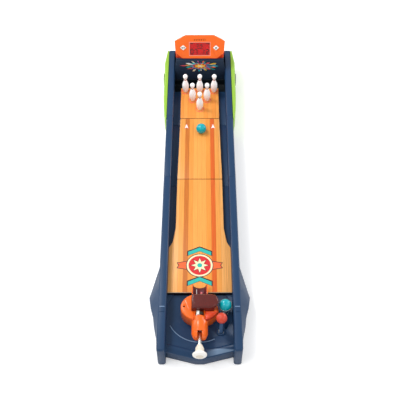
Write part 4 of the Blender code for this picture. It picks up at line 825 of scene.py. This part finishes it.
# The collar is a ring: its outline is closed, and the caps that the lathe adds come off.
low, high, middle, half = size_of("lever_collar")
end = (high.z - low.z) / mm
profile = in_mm(low.z, [(0.3, 3.7), (0, 4.0), (0.3, 4.6), (end - 0.5, 6.0), (end - 0.1, 5.8), (end, 5.4),
                        (end, 3.7), (0.3, 3.7)])
shape = bmesh.new()
lathe_into(shape, profile, (middle.x, middle.y), "Z", 48)
bmesh.ops.delete(shape, geom=[face for face in shape.faces if len(face.verts) > 4], context="FACES_ONLY")
bmesh.ops.remove_doubles(shape, verts=shape.verts, dist=0.001 * mm)
put(as_object("lever_collar_turned", shape), "lever", cream_styrene, "pale_plastic", "lever_collar")

# %% [markdown]
# ## Plunger spring
# A real spring is wound from one wire at an even pitch. A stack of rings would be
# quicker, but a tube that follows a helix of many points has the slant of real
# turns.

# %% Spring
low, high, middle, half = size_of("plunger_spring")
wire = 0.6 * mm
coil = half.x - wire
turns = 8
per_turn = 28
curve = bpy.data.curves.new("plunger_spring_wound", "CURVE")
curve.dimensions = "3D"
curve.bevel_depth = wire
curve.bevel_resolution = 3
curve.use_fill_caps = True
line = curve.splines.new("POLY")
line.points.add(turns * per_turn)
for step, point in enumerate(line.points):
    turn = 2 * math.pi * step / per_turn
    along = low.y + wire + (high.y - low.y - 2 * wire) * step / (turns * per_turn)
    point.co = (coil * math.cos(turn), along, middle.z + coil * math.sin(turn), 1)
wound = bpy.data.objects.new("plunger_spring_wound", curve)
bpy.context.scene.collection.objects.link(wound)
graph = bpy.context.evaluated_depsgraph_get()
mesh = bpy.data.meshes.new_from_object(wound.evaluated_get(graph))
bpy.data.objects.remove(wound)
spring = bpy.data.objects.new("plunger_spring_wound", mesh)
bpy.context.scene.collection.objects.link(spring)
mesh.shade_smooth()
put(spring, "turret", zinc_wire, "steel", "plunger_spring")
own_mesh(spring)

# %% [markdown]
# ## Prints
# Everything printed lies on its surface as a film of ink a few hundredths of a
# millimetre thick. It could be painted in the material, but a thin plate with its
# own outline stays sharp at any distance and is easy to place.


# %% Plates
def bridge(shape, near, far):
    """Faces between two closed rings of as many points."""
    for step in range(len(near)):
        after = (step + 1) % len(near)
        shape.faces.new((near[step], near[after], far[after], far[step]))


def plate(name, outline, low, high, hole=None):
    """Flat plate on an outline, with an optional hole of as many points."""
    shape = bmesh.new()
    walls = [[[shape.verts.new((x, y, z)) for x, y in line] for z in (low, high)]
             for line in (outline, hole) if line]
    for level in range(2):
        if hole:
            bridge(shape, walls[0][level], walls[1][level])
        else:
            shape.faces.new(walls[0][level])
    for bottom, top in walls:
        bridge(shape, bottom, top)
    return as_object(name, shape, 30)


def ring(radius, steps=48, centre=(0, 0)):
    """Points of a circle."""
    turns = [2 * math.pi * step / steps for step in range(steps)]
    return [(centre[0] + radius * math.cos(turn), centre[1] + radius * math.sin(turn)) for turn in turns]


def star(points, outer, inner):
    """Star with its points at two radii, the first one at the top."""
    corners = []
    for step in range(2 * points):
        turn = math.pi / 2 + math.pi * step / points
        radius = outer if step % 2 == 0 else inner
        corners.append((radius * math.cos(turn), radius * math.sin(turn)))
    return corners


film = 0.03 * mm
# Ink starts a hair above its surface, or both would flicker where they share a plane.
clear = 0.02 * mm


def inked(layer, surface=0.0):
    """Bottom and top of one layer of ink on a surface; each layer lies clear of the last."""
    bottom = surface + clear + film * layer
    return bottom, bottom + film * 0.9


print("ink in mm:", round(film / mm, 2))

# %% [markdown]
# The badge at the front of the lane is our own: a roundel with a star, chevrons
# that point to the pins and bars at its sides, in red, cream, orange and teal with
# dark outlines. Each ink is a plate of its own, as each needs its own screen in print.

# %% Badge on the lane
lane_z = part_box("lane_front")[1].z
badge_y = lane_start + 65 * mm


def badge(name, outline, layer, colour):
    """One ink of the badge."""
    shifted = [(x, badge_y + y) for x, y in outline]
    put(plate("badge_" + name, shifted, *inked(layer, lane_z)), "alley", INKS[colour], "printed_lane")


def chevron(y, half, rise, thick):
    """Band bent to a point, towards the pins."""
    top = y + thick
    return [(-half, y), (0, y + rise), (half, y), (half, top), (0, top + rise), (-half, top)]


wing_outline = ((20, -12), (49, -7), (45, 0), (49, 7), (20, 12))
wing = ((20, -10.5), (46.6, -5.8), (43.2, 0), (46.6, 5.8), (20, 10.5))
for side, name in ((-1, "left"), (1, "right")):
    badge("wing_outline_" + name, [(side * x * mm, y * mm) for x, y in wing_outline], 0, "outline")
    badge("wing_" + name, [(side * x * mm, y * mm) for x, y in wing], 1, "orange")
for y, name in ((-49, "front"), (25, "back")):
    badge("chevron_outline_" + name, chevron((y - 2) * mm, 27 * mm, 12 * mm, 13 * mm), 0, "outline")
    badge("chevron_" + name, chevron(y * mm, 24.5 * mm, 11 * mm, 9 * mm), 1, "teal")
badge("disc_outline", ring(29 * mm), 2, "outline")
badge("disc_cream", ring(27.4 * mm), 3, "cream")
badge("disc_red", ring(23.5 * mm), 4, "red")
badge("star_outline", star(8, 20.5 * mm, 10 * mm), 5, "outline")
badge("star", star(8, 18 * mm, 9 * mm), 6, "cream")
badge("centre", ring(5.2 * mm), 7, "teal")
print("badge's thickness in mm:", round(inked(7)[1] / mm, 2))

# %% [markdown]
# Near the pins two pale arrows help to aim, as on any bowling lane. Round each
# pin's place on the deck a broken ring is printed. It leaves out the slot behind
# the pin, because ink can't lie on air.

# %% Arrows
arrow_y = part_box("lane_middle")[1].y - 27 * mm
for side, name in ((-1, "left"), (1, "right")):
    for layer, (part, grown, colour) in enumerate((("outline", 1.1, "rose"), ("arrow", 0, "white"))):
        outline = [(side * (33 + x) * mm, arrow_y + y * mm) for x, y in (
            (-4.5 - grown, -7 - grown), (0, -3.5 - grown), (4.5 + grown, -7 - grown), (0, 8 + 1.6 * grown))]
        piece = plate("aim_%s_%s" % (part, name), outline, *inked(layer, lane_z))
        put(piece, "alley", INKS[colour], "printed_lane")
print("arrows stand at y in mm:", round(arrow_y / mm))


# %% Pin spots
def band(inner, outer, first, last, centre, steps=28):
    """Part of a ring, between two angles in degrees."""
    turns = [math.radians(first + (last - first) * step / steps) for step in range(steps + 1)]
    points = [(centre[0] + outer * math.cos(turn), centre[1] + outer * math.sin(turn)) for turn in turns]
    return points + [(centre[0] + inner * math.cos(turn), centre[1] + inner * math.sin(turn))
                     for turn in reversed(turns)]


spot_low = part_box("pin_deck")[1].z + clear
spot_high = spot_low + 0.04 * mm
for name in PINS:
    low, high, middle, half = size_of("pin_" + name)
    for part, (first, last) in {"left": (125, 200), "front": (215, 325), "right": (-20, 55)}.items():
        outline = band(8.4 * mm, 10.4 * mm, first, last, (middle.x, low.y + pin_belly))
        piece = plate("spot_%s_%s" % (name, part), outline, spot_low, spot_high)
        put(piece, "alley", INKS["rose"], "printed_lane")
print("arcs round the pins:", 3 * len(PINS))

# %% [markdown]
# The backboard carries a burst of colours, like a splash: layers of spiky stars
# and loose streaks. Its outlines come from sines, so it is the same each time.

# %% Burst on the backboard
board_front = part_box("backboard")[0].y
upright = Matrix(((1, 0, 0, 0), (0, 0, -1, board_front), (0, 1, 0, 0), (0, 0, 0, 1)))
splash = Vector((1.0 * mm, 77.5 * mm))


def on_board(name, outline, layer, colour):
    """Print that is laid out flat and stood up against the backboard."""
    piece = plate(name, outline, *inked(layer))
    piece.data.transform(upright)
    put(piece, "alley", INKS[colour], "navy_plastic")


def burst(name, wide, tall, points, depth, layer, colour, phase):
    """Spiky splash, wider than tall."""
    outline = []
    for step in range(2 * points):
        turn = math.pi * step / points
        swing = 0.80 + 0.20 * math.sin(3.7 * step + phase)
        radius = swing if step % 2 == 0 else depth * swing
        outline.append((splash.x + wide * radius * math.cos(turn), splash.y + tall * radius * math.sin(turn)))
    on_board(name, outline, layer, colour)


burst("burst_blue", 43 * mm, 17.0 * mm, 15, 0.56, 0, "blue", 0.4)
burst("burst_teal", 38 * mm, 16.0 * mm, 13, 0.50, 1, "teal", 1.7)
burst("burst_lilac", 33 * mm, 14.5 * mm, 12, 0.54, 2, "lilac", 2.9)
burst("burst_red", 29 * mm, 12.5 * mm, 11, 0.56, 3, "red", 4.1)
burst("burst_yellow", 23 * mm, 10.0 * mm, 10, 0.58, 4, "yellow", 5.3)
burst("burst_cream", 12 * mm, 5.4 * mm, 9, 0.55, 5, "cream", 0.9)
print("middle of the burst in mm:", round(splash.x / mm, 1), round(splash.y / mm, 1))

# %% Loose streaks round the burst
streak_inks = ("cyan", "white", "yellow", "rose", "teal", "orange", "lilac", "cream")
streaks = 22
reach_x, reach_y = 46 * mm, 18.5 * mm
for number in range(streaks):
    turn = 2 * math.pi * (number + 0.3 * math.sin(2.1 * number)) / streaks
    start = 0.50 + 0.10 * math.sin(1.3 * number)
    length = 0.46 + 0.12 * math.sin(2.9 * number + 1)
    out = Vector((reach_x * math.cos(turn), reach_y * math.sin(turn)))
    side = Vector((-out.y, out.x)).normalized() * (2.1 + 0.8 * math.sin(4.3 * number)) * mm
    widest = splash + out * (start + 0.6 * length)
    outline = [splash + out * start, widest - side, splash + out * (start + length), widest + side]
    on_board("streak_%02d" % number, outline, 6, streak_inks[number % len(streak_inks)])
print("streaks:", streaks)

# %% [markdown]
# ## Score unit's face
# The unit leans back, so its prints are laid out flat, with u across and v up its
# face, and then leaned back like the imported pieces. The display shows plain scores
# in seven-segment digits: each digit is seven bars, and a table says which are lit.

# %% Face of the score unit
tilt = math.radians(25)
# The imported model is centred: its zero lies this far behind the source's zero.
game_middle = 0.433
# Foot of the unit's face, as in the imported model.
foot_y, foot_z = 0.802 - game_middle, 0.0995
score_frame = Matrix((
    (1, 0, 0, 0),
    (0, math.sin(tilt), math.cos(tilt), foot_y),
    (0, math.cos(tilt), -math.sin(tilt), foot_z),
    (0, 0, 0, 1),
))


def on_face(piece, body, look, slot):
    """Lean a flat print back onto the score unit; its heights run into the unit."""
    piece.data.transform(score_frame)
    piece.data.flip_normals()
    return put(piece, body, look, slot)


# Ends of each bar of a digit, as shares of its width and height.
SEGMENTS = {
    "a": ((0, 1), (1, 1)), "b": ((1, 1), (1, 0.5)), "c": ((1, 0.5), (1, 0)), "d": ((0, 0), (1, 0)),
    "e": ((0, 0.5), (0, 0)), "f": ((0, 1), (0, 0.5)), "g": ((0, 0.5), (1, 0.5)),
}
LIT = {"0": "abcdef", "1": "bc", "2": "abged", "5": "afgcd", "7": "abc"}
# The digits lie on the display, this deep behind the face's front.
display_w = 3.58 * mm
stroke_depth = 0.06 * mm


def lit_bar(name, outline):
    """Dark bar of the display."""
    piece = plate(name, [tuple(point) for point in outline], display_w - stroke_depth, display_w)
    on_face(piece, "alley", INKS["digit"], "display")


def digit(name, value, left, low, wide, tall, thick):
    """Seven-segment digit on the display; its bars end in points, with a gap between them."""
    for segment in LIT[value]:
        (x0, y0), (x1, y1) = SEGMENTS[segment]
        start = Vector((left + wide * x0, low + tall * y0))
        end = Vector((left + wide * x1, low + tall * y1))
        along = (end - start).normalized()
        start, end = start + along * thick * 0.05, end - along * thick * 0.05
        side = Vector((-along.y, along.x)) * thick / 2
        cut = along * thick / 2
        lit_bar("digit_%s_%s" % (name, segment), [
            start, start + cut - side, end - cut - side, end, end - cut + side, start + cut + side])


for name, value, left, low, wide, tall, thick in (
        ("left_tens", "0", -23.4, 11.4, 6.2, 11.6, 2.8), ("left_units", "7", -13.0, 11.4, 6.2, 11.6, 2.8),
        ("right_tens", "1", 4.8, 11.4, 6.2, 11.6, 2.8), ("right_units", "2", 17.0, 11.4, 6.2, 11.6, 2.8),
        ("frame_tens", "0", -6.8, 29.6, 4.4, 7.0, 1.8), ("frame_units", "5", 2.4, 29.6, 4.4, 7.0, 1.8)):
    digit(name, value, left * mm, low * mm, wide * mm, tall * mm, thick * mm)
    print("digit", value, "is", tall, "mm tall")

# %% Bars and rim of the window
# Bars at the display's top and middle, lit beside whose turn and which frame it is.
for name, u, v, wide in (("turn_left", -21, 38.5, 8), ("turn_right", 21, 38.5, 8), ("frame", 0, 25.4, 12)):
    outline = [(u - wide / 2, v - 1), (u + wide / 2, v - 1), (u + wide / 2, v + 1), (u - wide / 2, v + 1)]
    lit_bar("bar_" + name, [(x * mm, y * mm) for x, y in outline])

window = [(-26, 9), (26, 9), (26, 41.7), (-26, 41.7)]
outer = [(-27.8, 7.2), (27.8, 7.2), (27.8, 43.5), (-27.8, 43.5)]
rim = plate("window_rim", [(u * mm, v * mm) for u, v in outer], -0.06 * mm, -0.01 * mm,
            [(u * mm, v * mm) for u, v in window])
on_face(rim, "alley", ink("ink_rim", "F08C78"), "orange_plastic")
print("window in mm:", window[1][0] - window[0][0], "by", round(window[2][1] - window[1][1], 1))

# %% Dots on the diamond buttons
button_v = 28.6 * mm
dot_low, dot_high = -1.86 * mm, -1.81 * mm
for name, body, radius, spots in (("one_player", "one_player_button", 2.2, (42.0,)),
                                  ("two_players", "two_players_button", 1.8, (-45.3, -40.7))):
    for number, u in enumerate(spots):
        outline = ring(radius * mm, 24, (u * mm, button_v))
        dot = plate("dot_%s_%d" % (name, number), outline, dot_low, dot_high)
        on_face(dot, body, INKS["outline"], "white_plastic")
    print(name, "dots:", len(spots))

# %% [markdown]
# The pill buttons at the upper corners stand square to a slanting edge, and that edge
# leans in towards the back, as a moulding must to leave its mould. We could turn each
# sign by eye; here its place is worked out from the edge's two ends and that lean, and
# mirrored for the other side.

# %% Signs on the corner buttons
# The edge leans in by this much for each millimetre of depth.
draft = 0.23
button_depth = 7.0 * mm
sign_low, sign_high = 2.52 * mm, 2.58 * mm


def corner_place(side):
    """Place of a corner button on the score unit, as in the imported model."""
    low = Vector((65 * mm, 46 * mm, 0))
    high = Vector((36.5 * mm, 61.2 * mm, 0))
    along = (high - low).normalized()
    back = Vector((0, -draft, 1))
    out = along.cross(back).normalized()
    place = Matrix.Translation((low + high) / 2 + back * button_depth)
    place = place @ Matrix((along, out.cross(along), out)).transposed().to_4x4()
    return Matrix.Diagonal((side, 1, 1, 1)) @ place


for side, name, colour in ((-1, "left", "grey"), (1, "right", "green")):
    eye = (-1.6 * mm, 0)
    sign = plate("sign_ring_" + name, ring(2.3 * mm, 24, eye), sign_low, sign_high, ring(1.0 * mm, 24, eye))
    corners = [(x * mm, y * mm) for x, y in ((1.6, -1.5), (5.2, -1.5), (5.2, 1.5), (1.6, 1.5))]
    bar = plate("sign_bar_" + name, corners, sign_low, sign_high)
    for piece in (sign, bar):
        piece.data.transform(corner_place(side))
        on_face(piece, "corner_%s_button" % name, INKS[colour], "white_plastic")
    print(name, "corner button has a ring and a bar in", colour)

# %% [markdown]
# ## Small fittings
# A strip of painted shade, nearly black, covers the step under the lane's front edge, and
# short ribs cross the rails where the front section clips on; the first of each pair is
# painted pale as a highlight. They are thin, but they are what the eye catches on a plain
# moulding. Plain blocks with rounded edges are enough for them.

# %% Step strip and rail ribs
# Nearly black painted shade on the step, where the lane's edge shades it.
strip = bmesh.new()
box_into(strip, (-66.1 * mm, lane_start - 0.7 * mm, 30.3 * mm), (66.1 * mm, lane_start - 0.1 * mm, 38.9 * mm))
put(as_object("step_shade_strip", strip), "alley", step_shade_abs, "navy_plastic")

rib_half = 1.0 * mm
rib_low, rib_high = 65.8 * mm, 67.0 * mm
for side, name in ((-1, "left"), (1, "right")):
    # The first rib of each pair is painted pale as a highlight; the second stays navy.
    for number, (y, look) in enumerate(((-339.4 * mm, pale_glint_abs), (-349.3 * mm, navy_abs))):
        shape = bmesh.new()
        inner, outer = sorted((side * 69.5 * mm, side * 79.5 * mm))
        box_into(shape, (inner, y - rib_half, rib_low), (outer, y + rib_half, rib_high))
        bmesh.ops.bevel(shape, geom=shape.edges[:], offset=0.3 * mm, segments=2, profile=0.5, affect="EDGES")
        put(as_object("rail_rib_%s_%d" % (name, number), shape), "alley", look, "navy_plastic")
print("ribs in mm:", round(2 * rib_half / mm, 1), "wide and", round((rib_high - rib_low) / mm, 1), "high")

# %% [markdown]
# A round bead runs along the dish where the launcher swings, and another one thickens
# the rim of the clear cup. Neither goes all the way round: the lever passes beside
# the dish, and the cup is open towards the launcher. A circle swept along an arc
# gives both, and the same sweep bends the printed marks to the muzzle's lining.


# %% Sweep and beads
def swept(rings):
    """Shape through closed rings of points, closed at both ends."""
    shape = bmesh.new()
    rows = [[shape.verts.new(point) for point in corners] for corners in rings]
    for near, far in zip(rows, rows[1:]):
        bridge(shape, near, far)
    shape.faces.new(rows[0])
    shape.faces.new(rows[-1])
    return shape


def bead(name, centre, radius, height, thick, first, last, look, slot, steps=72, sides=10):
    """Round bead along an arc from one angle to another."""
    rings = []
    for step in range(steps + 1):
        turn = math.radians(first + (last - first) * step / steps)
        rings.append([])
        for side in range(sides):
            lean = 2 * math.pi * side / sides
            reach = radius + thick * math.cos(lean)
            rings[-1].append((centre.x + reach * math.cos(turn), centre.y + reach * math.sin(turn),
                              height + thick * math.sin(lean)))
    print(name, "runs from", first, "to", last, "degrees")
    return put(as_object(name, swept(rings)), "alley", look, slot)


# The launcher's post stands at 100 mm in the source.
dish_middle = Vector((0, 100 * mm - game_middle, 0))
# The bead is painted pale as a highlight along the dish's rim.
bead("dish_bead", dish_middle, 66.9 * mm, 33.0 * mm, 1.0 * mm, -152, -64, pale_glint_abs, "navy_plastic")

# %% [markdown]
# The muzzle's lining carries three small printed marks at its bottom, a screw painted
# dark as the shade of its hole sits in the post of the launcher, and the cup gets its rim last.

# %% Marks in the muzzle
liner_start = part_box("muzzle_liner")[0].y
liner_inner = size_of("muzzle_liner")[3].x - 0.9 * mm
barrel_z = 59.4 * mm
for name, first, last, near, far, colour in (
        ("bar", -122, -112, 6, 27, "white"), ("near", -84, -66, 7, 11, "white"),
        ("far", -84, -66, 14, 22, "rose")):
    near_y, far_y = liner_start + near * mm, liner_start + far * mm
    outer, inner = liner_inner - 0.02 * mm, liner_inner - 0.06 * mm
    rings = []
    for step in range(7):
        turn = math.radians(first + (last - first) * step / 6)
        rings.append([(radius * math.cos(turn), y, barrel_z + radius * math.sin(turn))
                      for radius, y in ((outer, near_y), (outer, far_y), (inner, far_y), (inner, near_y))])
    put(as_object("muzzle_mark_" + name, swept(rings)), "turret", INKS[colour], "maroon_plastic")
    print(name, "mark is", far - near, "mm long")

# %% Screw in the post
low, high, middle, half = size_of("turret_housing")
top = high.z - 1.2 * mm
profile = in_mm(top, [(-1.4, 0), (-1.4, 1.7), (-0.4, 1.7), (0, 1.2), (0, 0)])
# The screw is painted dark as the shade of its hole.
put(lathe("post_screw", profile, (low.x + 7 * mm, middle.y), "Z", 32), "turret", hole_shade_steel, "steel")
print("screw is sunk by mm:", round((high.z - top) / mm, 1))

# %% Rim of the cup
rim_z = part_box("ball_cup")[1].z - 0.6 * mm
bead("cup_rim", size_of("cup_ball")[2], 13.4 * mm, rim_z, 0.55 * mm, -138, 138, frosted_rim, "clear_plastic")

# %% [markdown]
# ## Sizes and the end
# The box round the dressed game is measured.

# %% Measure the box and finish
low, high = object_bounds()
